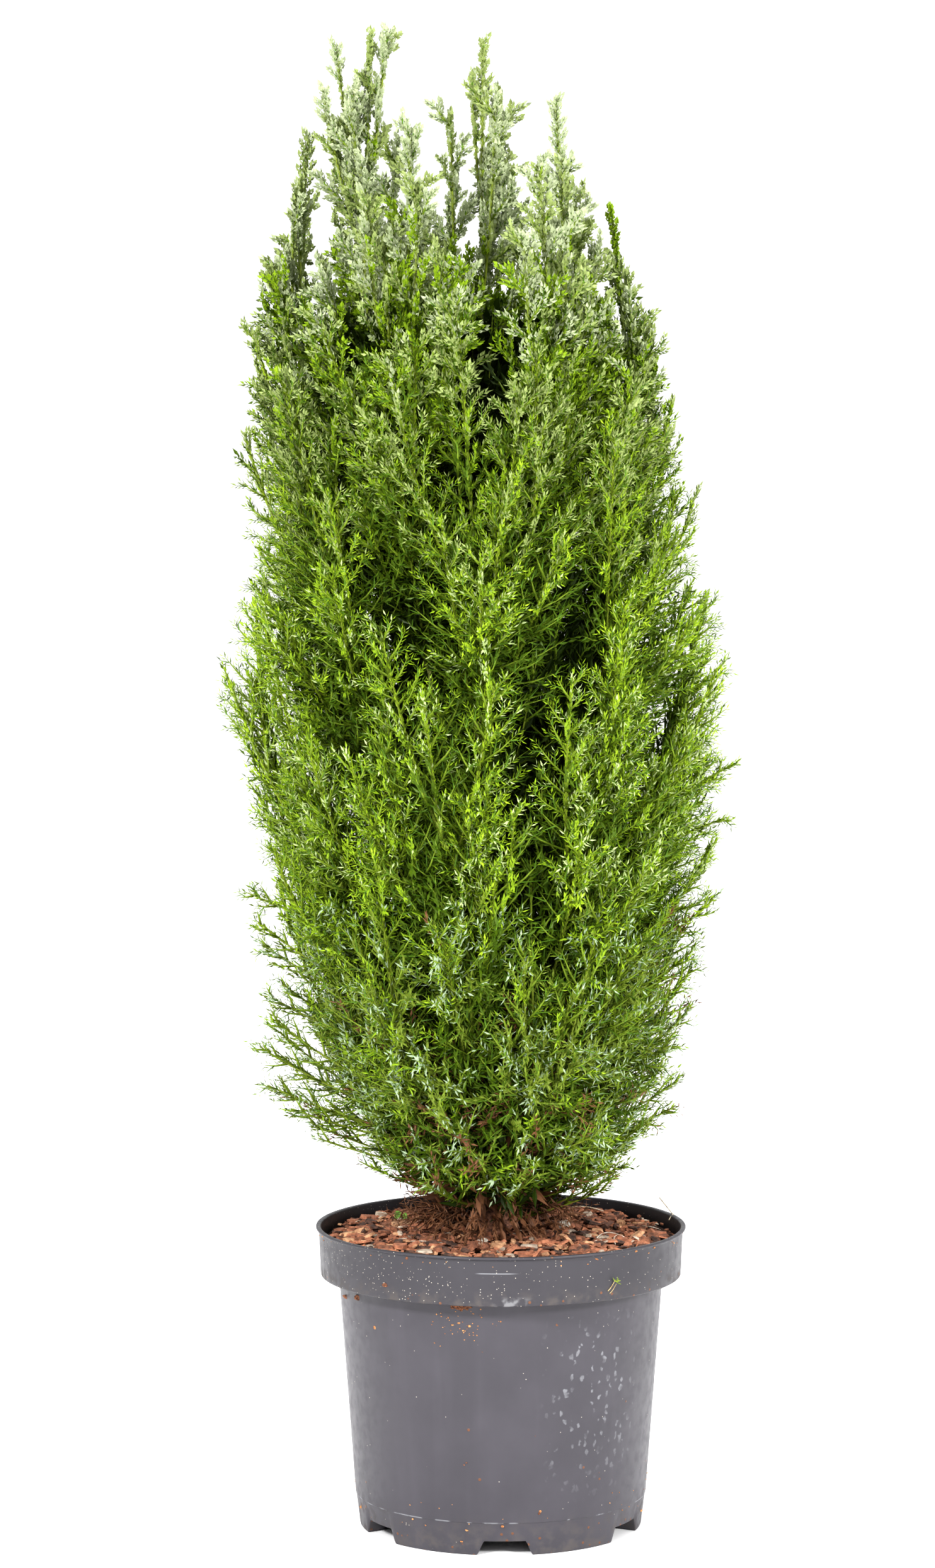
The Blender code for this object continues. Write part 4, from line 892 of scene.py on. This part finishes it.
def twigs_on(curves, bare, pitch, flat, low):
    """Twigs up each limb, one every pitch past the bare foot: in a spiral, or in a fan in the plane
    that faces out of the crown. They lean less the higher they stand on the limb and in the crown,
    and are as long as the height's own length times (1 - share)^taper, with shorter ones at the
    foot. They bend towards the limb's heading, and those that would leave the crown are drawn in.
    Also gives the limb's heading, which lies in the spray's plane, and the limb's number."""
    long = np.linalg.norm(curves[:, 2] - curves[:, 0], axis=-1)
    middle = curve_at(curves, np.full(len(curves), 0.6))[:, 2]
    pitch = np.where(low, LOW_PITCH, pitch * np.interp(middle, *PITCH_CHANGE))
    counts = np.maximum(1, (long * (1.0 - bare) / pitch).astype(int))
    limb, number = per_parent(counts)
    many = len(limb)
    share = bare + (1.0 - bare) * (number + growth.uniform(0.2, 0.8, many)) / counts[limb]
    foot, ahead = curve_at(curves[limb], share), heading_at(curves[limb], share)
    z = foot[:, 2]
    outward = level_side(foot - crown_axis(z), ahead)
    spiral = number * SPIRAL + growth.normal(0.0, 0.20, many) + limb
    fan = np.where(low[limb], LOW_FAN[number % 6], FAN[number % 6]) * math.pi
    in_fan = low[limb] | (flat & (z > FAN_FROM_Z))
    turn = np.where(in_fan, fan + growth.normal(0.0, 0.42, many), spiral)
    out = turned(np.cross(ahead, outward), outward, turn)
    lean = by_height(z, TWIG_LEAN) - by_height(z, TWIG_LEAN_LOST) * share
    heading = turned(ahead, out, np.radians(lean + growth.normal(0.0, 4.0, many)))
    reach = by_height(z, TWIG_REACH) * np.minimum(1.0, 0.5 + share / 0.3)
    reach = reach * (1.0 - share) ** by_height(z, TWIG_TAPER) * growth.uniform(0.85, 1.15, many)
    reach = (reach + TWIG_LEAST * by_height(z, TWIG_REACH_ADDED)) * np.where(low[limb], LOW_REACH, 1.0)
    spare = growth.uniform(-0.006, 0.009, many) + np.where(low[limb], LOW_FREE, 0.0)
    for _ in range(8):
        bend = foot + heading * (0.45 * reach)[:, None]
        end = bend + unit(heading + 0.35 * ahead + [0.0, 0.0, 0.16]) * (0.55 * reach)[:, None]
        over = np.linalg.norm(end - within_crown(end, spare), axis=-1) > 0.0
        reach = np.where(over, reach * 0.86, reach)
    far = np.linalg.norm((end - [POT_X, 0.0, 0.0])[:, :2], axis=-1)
    clear = end[:, 2] > SOIL_TOP_Z + 0.006 + 0.60 * np.maximum(far - 0.020, 0.0)
    kept = (reach > 0.6 * TWIG_LEAST) & ~over & clear
    return np.stack([foot, bend, end], axis=1)[kept], ahead[kept], limb[kept]


def dead_twigs_low():
    """Dead twigs in a spiral, a little off the trunk's foot, that droop to just over the mulch. Also
    gives their level headings."""
    side = outwards(SPIRAL * np.arange(DEAD_TWIGS))
    long = growth.uniform(0.018, 0.036, (DEAD_TWIGS, 1))
    foot = trunk_point(growth.uniform(0.184, 0.206, DEAD_TWIGS))
    foot = foot + side * growth.uniform(0.004, 0.040, (DEAD_TWIGS, 1))
    end = foot + side * long
    end[:, 2] = SOIL_TOP_Z + growth.uniform(0.002, 0.022, DEAD_TWIGS)
    return np.stack([foot, 0.5 * (foot + end) + [0.0, 0.0, 0.004], end], axis=1), side


outer_stems = stem_curves[:first_inner]
inner_limbs = np.concatenate([stem_curves[first_inner:], bough_curves])
side_twigs, side_plane, side_limb = twigs_on(
    outer_stems, 0.05, TWIG_PITCH, True, stem_low[:first_inner])
dark_twigs, dark_plane, dark_limb = twigs_on(
    inner_limbs, 0.10, TWIG_PITCH_INSIDE, False, np.zeros(len(inner_limbs), bool))
tip_share = np.array([0.80, 0.92])
tip_end = stem_curves[:, 2] + 0.004 * heading_at(stem_curves, np.ones(len(stem_curves)))
tip_twigs = np.concatenate([curve_at(stem_curves[:, None], tip_share[None]), tip_end[:, None]], axis=1)
tip_plane = unit(growth.normal(0.0, 1.0, (len(stem_curves), 3)))
dead_twigs, dead_plane = dead_twigs_low()
twig_curves = np.concatenate([side_twigs, dark_twigs, tip_twigs, dead_twigs])
twig_plane = np.concatenate([side_plane, dark_plane, tip_plane, dead_plane])
twig_limb = np.concatenate([side_limb, first_inner + dark_limb, stem_number, np.zeros(DEAD_TWIGS, int)])
twig_long = np.linalg.norm(twig_curves[:, 2] - twig_curves[:, 0], axis=-1)

# How deep each twig lies is its distance from the crown's middle over the reach: 0 in the middle
twig_middle = curve_at(twig_curves, np.full(len(twig_curves), 0.6))
twig_z = twig_middle[:, 2]
twig_depth = np.linalg.norm(twig_middle - crown_axis(twig_z), axis=-1)
twig_depth = twig_depth / np.maximum(filled_reach(twig_middle), 0.03)
twig_hidden = (twig_depth < HIDDEN_DEPTH) & (twig_z < HIDDEN_BELOW_Z)

twiglet_pitch = by_height(twig_z, TWIGLET_PITCH) * np.where(twig_hidden, HIDDEN_SPARSER, 1.0)
counts = np.maximum(1, (twig_long * 0.86 / twiglet_pitch).astype(int))
twig, number = per_parent(counts)
share = 0.12 + 0.84 * (number + 0.5) / counts[twig]
twiglet_foot, ahead = curve_at(twig_curves[twig], share), heading_at(twig_curves[twig], share)
twiglet_z = twiglet_foot[:, 2]
first = level_side(twig_plane[twig], ahead)
turn = math.pi * ((number + twig) % 2) + growth.normal(0.0, 0.28, len(twig))
side = turned(first, np.cross(ahead, first), turn)
lean = by_height(twiglet_z, TWIGLET_LEAN) - TWIGLET_LEAN_LOST * share
lean = lean + growth.normal(0.0, 4.0, len(twig))
long = np.minimum(by_height(twiglet_z, TWIGLET_REACH), TWIGLET_MOST * twig_long[twig])
long = long * np.minimum(1.0, 0.60 + share / 0.4) * (1.0 - share) ** by_height(twiglet_z, TWIGLET_TAPER)
long = TWIGLET_LEAST + long * growth.uniform(0.85, 1.15, len(twig))
heading = turned(ahead, side, np.radians(lean))
twiglet_end = twiglet_foot + heading * long[:, None]
twiglet_side = np.cross(np.cross(ahead, side), heading)


def slim_cones(places, radii):
    """Closed three-sided cones along lines of places: three corners round each place but the last,
    where they end in a point."""
    ring = spokes(unit(places[:, 1] - places[:, 0]), 3)
    rows = [places[:, row, None] + ring * radius for row, radius in enumerate(radii)]
    return np.concatenate([*rows, places[:, -1:]], axis=1)


SHORT_CONE = np.array([[0, 1, 3], [1, 2, 3], [2, 0, 3], [0, 2, 1]])
LONG_CONE = np.array([[0, 1, 4], [0, 4, 3], [1, 2, 5], [1, 5, 4], [2, 0, 3], [2, 3, 5],
                      [3, 4, 6], [4, 5, 6], [5, 3, 6], [0, 2, 1]])
dead_wood = green_material("dead_wood", (0.135, 0.066, 0.036), 0.85)
halfway = curve_at(twig_curves, np.full(len(twig_curves), 0.5))
cones = slim_cones(np.stack([twig_curves[:, 0], halfway, twig_curves[:, 2]], axis=1),
                   (TWIG_RADIUS, TWIG_MIDDLE_RADIUS))
grown(copies_of("twigs", cones[:-DEAD_TWIGS], LONG_CONE, smooth=True),
      green_material("twig_green", (0.150, 0.215, 0.020)))
grown(copies_of("twigs_dead", cones[-DEAD_TWIGS:], LONG_CONE, smooth=True), dead_wood)
cones = slim_cones(np.stack([twiglet_foot, twiglet_end], axis=1), (TWIGLET_RADIUS,))
living = twig < len(twig_curves) - DEAD_TWIGS
grown(copies_of("twiglets", cones[living], SHORT_CONE),
      green_material("twiglet_green", (0.075, 0.150, 0.014)))
grown(copies_of("twiglets_dead", cones[~living], SHORT_CONE), dead_wood)


# ---- The needles
# Short pointed needles stand in four rows along the twigs and twiglets and lie closer towards their
# tips. They are fresh green in the middle of the crown, greyer with wax at the top, and bluer and
# paler near the foot. Deeper in the crown they are dealt darker greens as painted shade, and a share
# of them paler greens as painted glints.

NEEDLE_FACES = np.array([[0, 1, 2], [0, 2, 3]])
NEEDLE_LONG, NEEDLE_LOST = (0.0062, 0.0052, 0.0041), (0.25, 0.25, 0.05)
NEEDLE_WIDE = ((0.64, 0.80), (0.0012, 0.0031))
NEEDLE_ROW, NEEDLE_LEAN, NEEDLE_LEAN_LOST = (0.42, 0.45, 0.75), (64, 52, 36), (20, 22, 16)
TWIGLET_NEEDLE_PITCH, TWIG_NEEDLE_PITCH = (0.00170, 0.00130, 0.00095), (0.00160, 0.00125, 0.00105)
STEM_NEEDLE_PITCH = 0.0015
BANDED_AND_GLINTING, BANDS_AND_GLINTS_MANY, BANDS_AND_GLINTS_FEW = 0.35, (0.60, 0.45, 0.30), (0.05, 0.08, 0.08)
NEEDLES_PER_PIECE, PAST_BOX_LOW, PAST_BOX_HIGH = 95000, 0.006, 0.012

# The greens: each twig is dealt one, and the needles on it vary from that. The deep and the shade
# greens are painted shade, and the glint green is a painted glint
GREENS = {
    "frosted": (0.312, 0.356, 0.208), "grey_green": (0.224, 0.276, 0.094),
    "fresh": (0.250, 0.365, 0.018), "green": (0.175, 0.268, 0.011),
    "deep_shade": (0.050, 0.086, 0.004), "shade": (0.017, 0.031, 0.002),
    "olive": (0.118, 0.160, 0.019), "bloom": (0.270, 0.345, 0.220),
    "glint": (0.350, 0.425, 0.190), "dead": (0.130, 0.060, 0.030),
}
FROSTED, GREY_GREEN, FRESH, GREEN, DEEP_SHADE, SHADE, OLIVE, BLOOM, GLINT, DEAD = range(len(GREENS))


def needles_on(foot, end, flat, pitch, size, closeness=1.0):
    """Needles in four rows along each axis, two on either side of the spray's plane: they lean out
    most at its foot and least at its tip. Each is a kite of two folded triangles: foot, left edge at
    0.4, tip, right edge. Also gives each needle's axis and its share of the way along it."""
    counts = np.maximum(2, (np.linalg.norm(end - foot, axis=-1) / pitch).astype(int))
    parent, number = per_parent(counts)
    share = 0.04 + 0.96 * (number + 0.5) / counts[parent]
    ahead, flat, z = unit(end - foot)[parent], flat[parent], foot[parent, 2]
    row = np.where(number // 2 % 2 == 0, 1.0, -1.0) * by_height(z, NEEDLE_ROW)
    turn = math.pi * (number % 2) + row + growth.normal(0.0, 0.08, len(parent))
    out = turned(flat, np.cross(ahead, flat), turn)
    lean = by_height(z, NEEDLE_LEAN) - by_height(z, NEEDLE_LEAN_LOST) * share
    heading = turned(ahead, out, np.radians(closeness * lean + growth.normal(0.0, 2.5, len(parent))))
    edge = np.cross(ahead, out)
    lift = np.cross(edge, heading)
    size = size[parent] * growth.uniform(0.92, 1.08, len(parent))
    length = by_height(z, NEEDLE_LONG) * size * (1.0 - by_height(z, NEEDLE_LOST) * share)
    width = np.interp(z, *NEEDLE_WIDE) * size
    start = foot[parent] + (end - foot)[parent] * share[:, None]
    waist = start + heading * (0.40 * length)[:, None] + lift * (0.22 * width)[:, None]
    half = edge * (0.5 * width)[:, None]
    kite = np.stack([start, waist - half, start + heading * length[:, None], waist + half], axis=1)
    return kite, parent, share


# Each twig's green is dealt by its height, by a lot that is partly its limb's and partly its own, and
# by how deep it lies: deep and hidden twigs, and a few others, get the deep and the shade greens as
# painted shade. Some of those low down are dead, and a third of all has more needles with white wax
# bands and painted glints
height = twig_z + growth.normal(0.0, 0.030, len(twig_z))
lot = growth.uniform(0.0, 1.0, 2000)[twig_limb] * 0.38 + growth.uniform(0.0, 1.0, len(twig_z)) * 0.62
tone = np.full(len(twig_z), GREEN)
tone[lot < np.interp(height, [0.42, 0.54], [0.28, 0.40])] = FRESH
tone[lot > 0.85] = DEEP_SHADE
tone[(height > 0.63) & (lot < 0.62)] = GREY_GREEN
tone[(height > 0.73) & (lot < 0.90)] = GREY_GREEN
tone[(height > 0.76) & (lot < 0.50)] = FROSTED
tone[(height < 0.37) & (lot > 0.35)] = OLIVE
tone[(height < 0.34) & (lot <= 0.35)] = GREEN
tone[(twig_depth < 0.82) & (lot > 0.52) & (height < 0.78)] = DEEP_SHADE
tone[(twig_depth < 0.75) & (height < 0.76)] = DEEP_SHADE
tone[twig_hidden] = SHADE
tone[(tone == DEEP_SHADE) & (height > 0.62) & (lot < 0.72)] = GREEN
tone[(tone == DEEP_SHADE) & (height > 0.71)] = GREY_GREEN
banded_and_glinting, lot, deep_lot = growth.uniform(0.0, 1.0, (3, len(tone)))
banded_and_glinting = banded_and_glinting < BANDED_AND_GLINTING
tone[lot < np.interp(height, [0.20, 0.27, 0.40], [0.14, 0.03, 0.0])] = DEAD
tone[(deep_lot < 0.25) & (height < 0.32) & (twig_depth < 0.70)] = DEAD
tone[-DEAD_TWIGS:] = DEAD

# The needles of hidden and of deep twigs are fewer and larger. First come those on the twiglets
sparser = np.where(twig_hidden, 3.2, np.where(tone == DEEP_SHADE, 2.2, 1.0))
larger = np.where(twig_hidden, 2.8, np.where(tone == DEEP_SHADE, 1.50, 1.0))
pitch = by_height(twiglet_z, TWIGLET_NEEDLE_PITCH) * sparser[twig]
fine_needles, parent, fine_share = needles_on(twiglet_foot, twiglet_end, twiglet_side,
                                              pitch, larger[twig])
fine_twig = twig[parent]

# Then those on the twigs themselves, each in three straight lengths
line = curve_at(twig_curves[:, None], np.linspace(0.04, 1.0, 4)[None])
flat = level_side(twig_plane[:, None], unit(line[:, 1:] - line[:, :-1])).reshape(-1, 3)
pitch = np.repeat(by_height(twig_z, TWIG_NEEDLE_PITCH) * sparser, 3)
axis_needles, parent, share = needles_on(line[:, :-1].reshape(-1, 3), line[:, 1:].reshape(-1, 3), flat,
                                         pitch, np.repeat(larger, 3), 0.9)
axis_twig, axis_share = parent // 3, 0.5 + 0.5 * (parent % 3 + share) / 3

# Then those on the outer stems, in eight lengths
line = curve_at(outer_stems[:, None], np.linspace(0.30, 0.98, 9)[None])
foot, end = line[:, :-1].reshape(-1, 3), line[:, 1:].reshape(-1, 3)
pitch, plain = np.full(len(foot), STEM_NEEDLE_PITCH), np.ones(len(foot))
stem_needles, *_ = needles_on(foot, end, across(unit(end - foot))[0], pitch, plain, 0.70)
height = stem_needles[:, 0, 2]
stem_tone = np.select([height < 0.21, height < 0.34, height > 0.74], [DEAD, OLIVE, GREY_GREEN], FRESH)

# A share of the lit needles is paler, most of them near the foot of the crown: above and below the
# middle of the crown they show white wax bands, and in the middle painted glints. Some of those near
# the foot of a twig or twiglet are given the deep green as painted shade
needles = np.concatenate([fine_needles, axis_needles, stem_needles])
needle_twig = np.concatenate([fine_twig, axis_twig])
needle_tone = np.concatenate([tone[needle_twig], stem_tone])
banded_and_glinting = np.concatenate([banded_and_glinting[needle_twig], np.zeros(len(stem_tone), bool)])
along = np.concatenate([fine_share, axis_share, np.ones(len(stem_tone))])
height, lot = needles[:, 0, 2], growth.uniform(0.0, 1.0, len(needles))
lit = needle_tone < DEEP_SHADE
share = np.where(banded_and_glinting, by_height(height, BANDS_AND_GLINTS_MANY), by_height(height, BANDS_AND_GLINTS_FEW))
bands_and_glints = (lit | (needle_tone == OLIVE)) & (lot < share)
band_and_glint_tone = np.select([height > 0.73, height > 0.60, height < 0.40], [FROSTED, GREY_GREEN, BLOOM], GLINT)
needle_tone[bands_and_glints] = band_and_glint_tone[bands_and_glints]
needle_tone[lit & (lot > 0.45 + 0.55 * along) & (height < 0.76)] = DEEP_SHADE

# Needles too far past the source's box are left out, so that the size stays within three per cent
low, high = np.array(cad_box[0]) - PAST_BOX_LOW, np.array(cad_box[1]) + PAST_BOX_HIGH
inside = ((needles > low) & (needles < high)).all(axis=(1, 2))
for index, (name, colour) in enumerate(GREENS.items()):
    ours = needles[inside & (needle_tone == index)]
    wax = green_material(f"needles_{name}_wax", colour)
    for number, part in enumerate(np.array_split(ours, len(ours) // NEEDLES_PER_PIECE + 1)):
        grown(copies_of(f"needles_{name}_{number + 1}", part, NEEDLE_FACES), wax)


# ---- The litter
# Crumbs of wet peat stick to the wall and the lip, and a tuft of moss hangs on the collar. On the mulch
# lie a scrap of green leaf, a few straws and fine pale roots, and two chips of pale stone.

# Crumbs on the wall: azimuth in degrees, height and half size in tenths of a millimetre
CRUMBS = np.array([
    (-150.8, 1505, 34), (-162.4, 1474, 34), (-128.7, 1659, 28), (-107.0, 1545, 22), (-105.4, 1543, 28),
    (-103.9, 1541, 30), (-102.3, 1543, 27), (-100.9, 1546, 19), (-104.1, 565, 9), (-103.2, 580, 8),
    (-75.6, 263, 12), (-120.3, 1841, 13)]) / [1, 10000, 10000]
PALE_CRUMBS = np.array([
    (-141.1, 1348, 13), (-107.3, 1431, 12), (-105.0, 1445, 13), (-101.3, 1429, 13), (-103.5, 1400, 9),
    (-103.7, 156, 14), (-105.9, 82, 14), (-89.7, 188, 13), (-75.2, 275, 11), (-126.7, 188, 9),
    (-67.4, 1560, 14), (-165.7, 140, 12), (-12.6, 110, 17), (-44.3, 1850, 13), (-60.0, 1838, 12),
    (-35.0, 1846, 11)]) / [1, 10000, 10000]
DUST_CRUMBS = 50  # in each of three bands

# Each strand's foot, bend and tip, in tenths of a millimetre from the foot of the pot's axis
STRAWS = placed([[(1010, 500, 1955), (1060, 430, 1900), (1095, 330, 1868)],
                 [(1060, 280, 1850), (1080, 330, 1880), (1110, 360, 1885)],
                 [(450, 750, 1850), (560, 730, 1870), (660, 690, 1835)]], 10000)
ROOTS = placed([[(590, -300, 1842), (640, -180, 1885), (760, -240, 1838)],
                [(700, -420, 1825), (680, -320, 1860), (720, -230, 1845)],
                [(-560, -350, 1830), (-440, -460, 1856), (-360, -420, 1832)],
                [(-100, 100, 1850), (-20, -60, 1882), (60, -20, 1846)],
                [(880, 180, 1830), (940, 80, 1850), (1000, 120, 1818)]], 10000)
STRAND_RINGS, STRAND_SIDES, STRAND_THINS = 9, 6, 0.7

drift = np.random.default_rng(33)


def wall_at(azimuth, height):
    """The wall's outside at an azimuth in degrees and a height, and a direction between straight
    outwards and the front, which the crumbs face."""
    collar = np.interp(height, [COLLAR_FOOT_Z, LIP_FOOT_Z], [COLLAR_FOOT_RADIUS, COLLAR_TOP_RADIUS])
    foot = np.interp(height, [0.0, SEAM_Z], [FOOT_RADIUS, SEAM_RADIUS])
    radius = np.where(height < SEAM_Z, foot, wall_radius(height, 0.0))
    radius = np.where(height > COLLAR_FOOT_Z, collar, radius)
    out = outwards(np.radians(azimuth))
    place = out * (radius + 0.0002)[:, None] + [POT_X, 0.0, 0.0]
    place[:, 2] = height
    return place, unit(out + [0.0, -0.8, 0.0])


def litter(piece, dark, light, scale):
    """A small piece of litter with a two-toned surface, which rides with the mulch."""
    finished(piece, bark_material(piece.name + "_surface", dark, light, scale), "bark_mulch")


def scraps(name, middle, normal, reach, dark, light, scale):
    """Broken flakes at places."""
    litter(copies_of(name, flakes_at(middle, normal, reach, drift), FLAKE_FACES), dark, light, scale)


def strands(name, curves, thick, dark, light):
    """Fine round strands on curves of three points."""
    rings = tapering(curves, thick, STRAND_THINS * thick, STRAND_RINGS, STRAND_SIDES)
    litter(tubes(name, rings, smooth=False), dark, light, 300.0)


# Fine crumbs hang in three bands: down the front of the wall, round its foot, and under the lip
azimuth = np.concatenate([drift.normal(-104.0, 7.0, DUST_CRUMBS),
                          drift.uniform(-180.0, 180.0, 2 * DUST_CRUMBS)])
height = np.concatenate([drift.normal(0.143, 0.006, DUST_CRUMBS),
                         drift.uniform(0.012, 0.034, DUST_CRUMBS),
                         drift.uniform(0.1805, 0.1850, DUST_CRUMBS)])
height = np.minimum(height, LIP_FOOT_Z - 0.0015)
reach = drift.uniform(0.0003, 0.0007, 3 * DUST_CRUMBS)
rusty = np.concatenate([PALE_CRUMBS, np.stack([azimuth, height, reach], axis=-1)])
scraps("peat_crumbs", *wall_at(*CRUMBS.T[:2]), CRUMBS[:, 2],
       (0.050, 0.017, 0.008), (0.230, 0.090, 0.040), 700.0)
scraps("rusty_crumbs", *wall_at(*rusty.T[:2]), rusty[:, 2],
       (0.200, 0.070, 0.022), (0.560, 0.280, 0.110), 700.0)
scraps("pale_chips", placed([(395, 150, 1850), (-120, -400, 1842)], 10000),
       unit(np.array([[0.1, -0.5, 1.0], [-0.1, -0.4, 1.0]])), np.array([0.0062, 0.0048]),
       (0.250, 0.220, 0.180), (0.620, 0.580, 0.500), 500.0)
scraps("leaf_scrap", placed([(-647, 367, 1860), (-600, 340, 1856)], 10000),
       unit(np.array([[0.2, -0.5, 1.0], [-0.1, -0.6, 1.0]])), np.array([0.0075, 0.0050]),
       (0.060, 0.140, 0.015), (0.170, 0.330, 0.050), 350.0)
strands("straws", STRAWS, np.array([0.00042, 0.00034, 0.00040]),
        (0.420, 0.330, 0.220), (0.740, 0.660, 0.520))
strands("fine_roots", ROOTS, np.array([0.00030, 0.00028, 0.00032, 0.00026, 0.00028]),
        (0.330, 0.270, 0.210), (0.700, 0.640, 0.550))

# The moss: a forked root down the collar, and short green shoots that spread from its upper end
root, _ = wall_at(np.array([-55.5, -54.4, -53.0]), np.array([0.1634, 0.1646, 0.1688]))
root = root * [1.0, 1.006, 1.0]
shoot = root[2] + np.array([0.0010, -0.0012, 0.0]) * np.arange(1, 10)[:, None] * 0.2
spread = drift.normal(0.0, 1.0, (9, 3)) * [0.0015, 0.0006, 0.0015] + [0.0008, -0.0008, 0.0006]
strands("moss_root", np.array([root, root + [0.0011, 0.0, -0.0015]]), np.array([0.00026, 0.00018]),
        (0.240, 0.150, 0.060), (0.520, 0.400, 0.200))
shoots = np.stack([shoot, shoot + 0.5 * spread, shoot + spread + [0.0, 0.0, 0.0008]], axis=1)
strands("moss_shoots", shoots, np.full(9, 0.00028), (0.110, 0.160, 0.012), (0.300, 0.360, 0.040))


# ---- The studio
# A pale sweep under soft light from both sides and from above, as for a catalogue cut-out, and a long
# lens a little above the middle of the plant.

LAMP_AIM, TOP_AIM = (0.0, 0.0, 0.5), (0.0, 0.0, 0.4)
SENSOR, FOCAL_LENGTH = 36.0, 99.3
CAMERA_PLACE, CAMERA_DIP = (-0.0047, -2.665, 0.6625), 0.075

corners = np.array([[-30.0, -30.0, 0.0], [30.0, -30.0, 0.0], [30.0, 30.0, 0.0], [-30.0, 30.0, 0.0]])
floor = piece_of("studio_floor", corners, np.array([[0, 1, 2, 3]]), smooth=False)
floor.data.materials.append(Surface("pale_floor").done((0.94, 0.94, 0.94, 1.0), 0.9))

scene = bpy.context.scene
scene.world = bpy.data.worlds.new("studio_air")
scene.world.use_nodes = True
air = scene.world.node_tree.nodes["Background"]
air.inputs["Color"].default_value, air.inputs["Strength"].default_value = (1.0, 1.0, 1.0, 1.0), 1.05
scene.view_settings.view_transform = 'Standard'
scene.view_settings.look = 'Medium High Contrast'


def soft_light(name, place, target, size, power):
    """A square area light at a place, aimed at a target."""
    lamp = bpy.data.lights.new(name, 'AREA')
    lamp.shape, lamp.size, lamp.energy = 'SQUARE', size, power
    x, y, z = np.array(place) - np.array(target)
    holder = linked(name, lamp)
    holder.location = place
    holder.rotation_euler = (math.atan2(math.hypot(x, y), z), 0.0, math.atan2(y, x) + 0.5 * math.pi)


soft_light("key_left", (-1.6, -2.2, 2.0), LAMP_AIM, 0.5, 120.0)
soft_light("fill_right", (1.9, -1.8, 1.4), LAMP_AIM, 0.5, 80.0)
soft_light("top", (0.0, 0.3, 2.6), TOP_AIM, 0.7, 45.0)

lens = bpy.data.cameras.new("camera")
lens.sensor_width, lens.lens = SENSOR, FOCAL_LENGTH
camera = linked("camera", lens)
camera.location = CAMERA_PLACE
camera.rotation_euler = (0.5 * math.pi - CAMERA_DIP, 0.0, 0.0)
scene.camera = camera
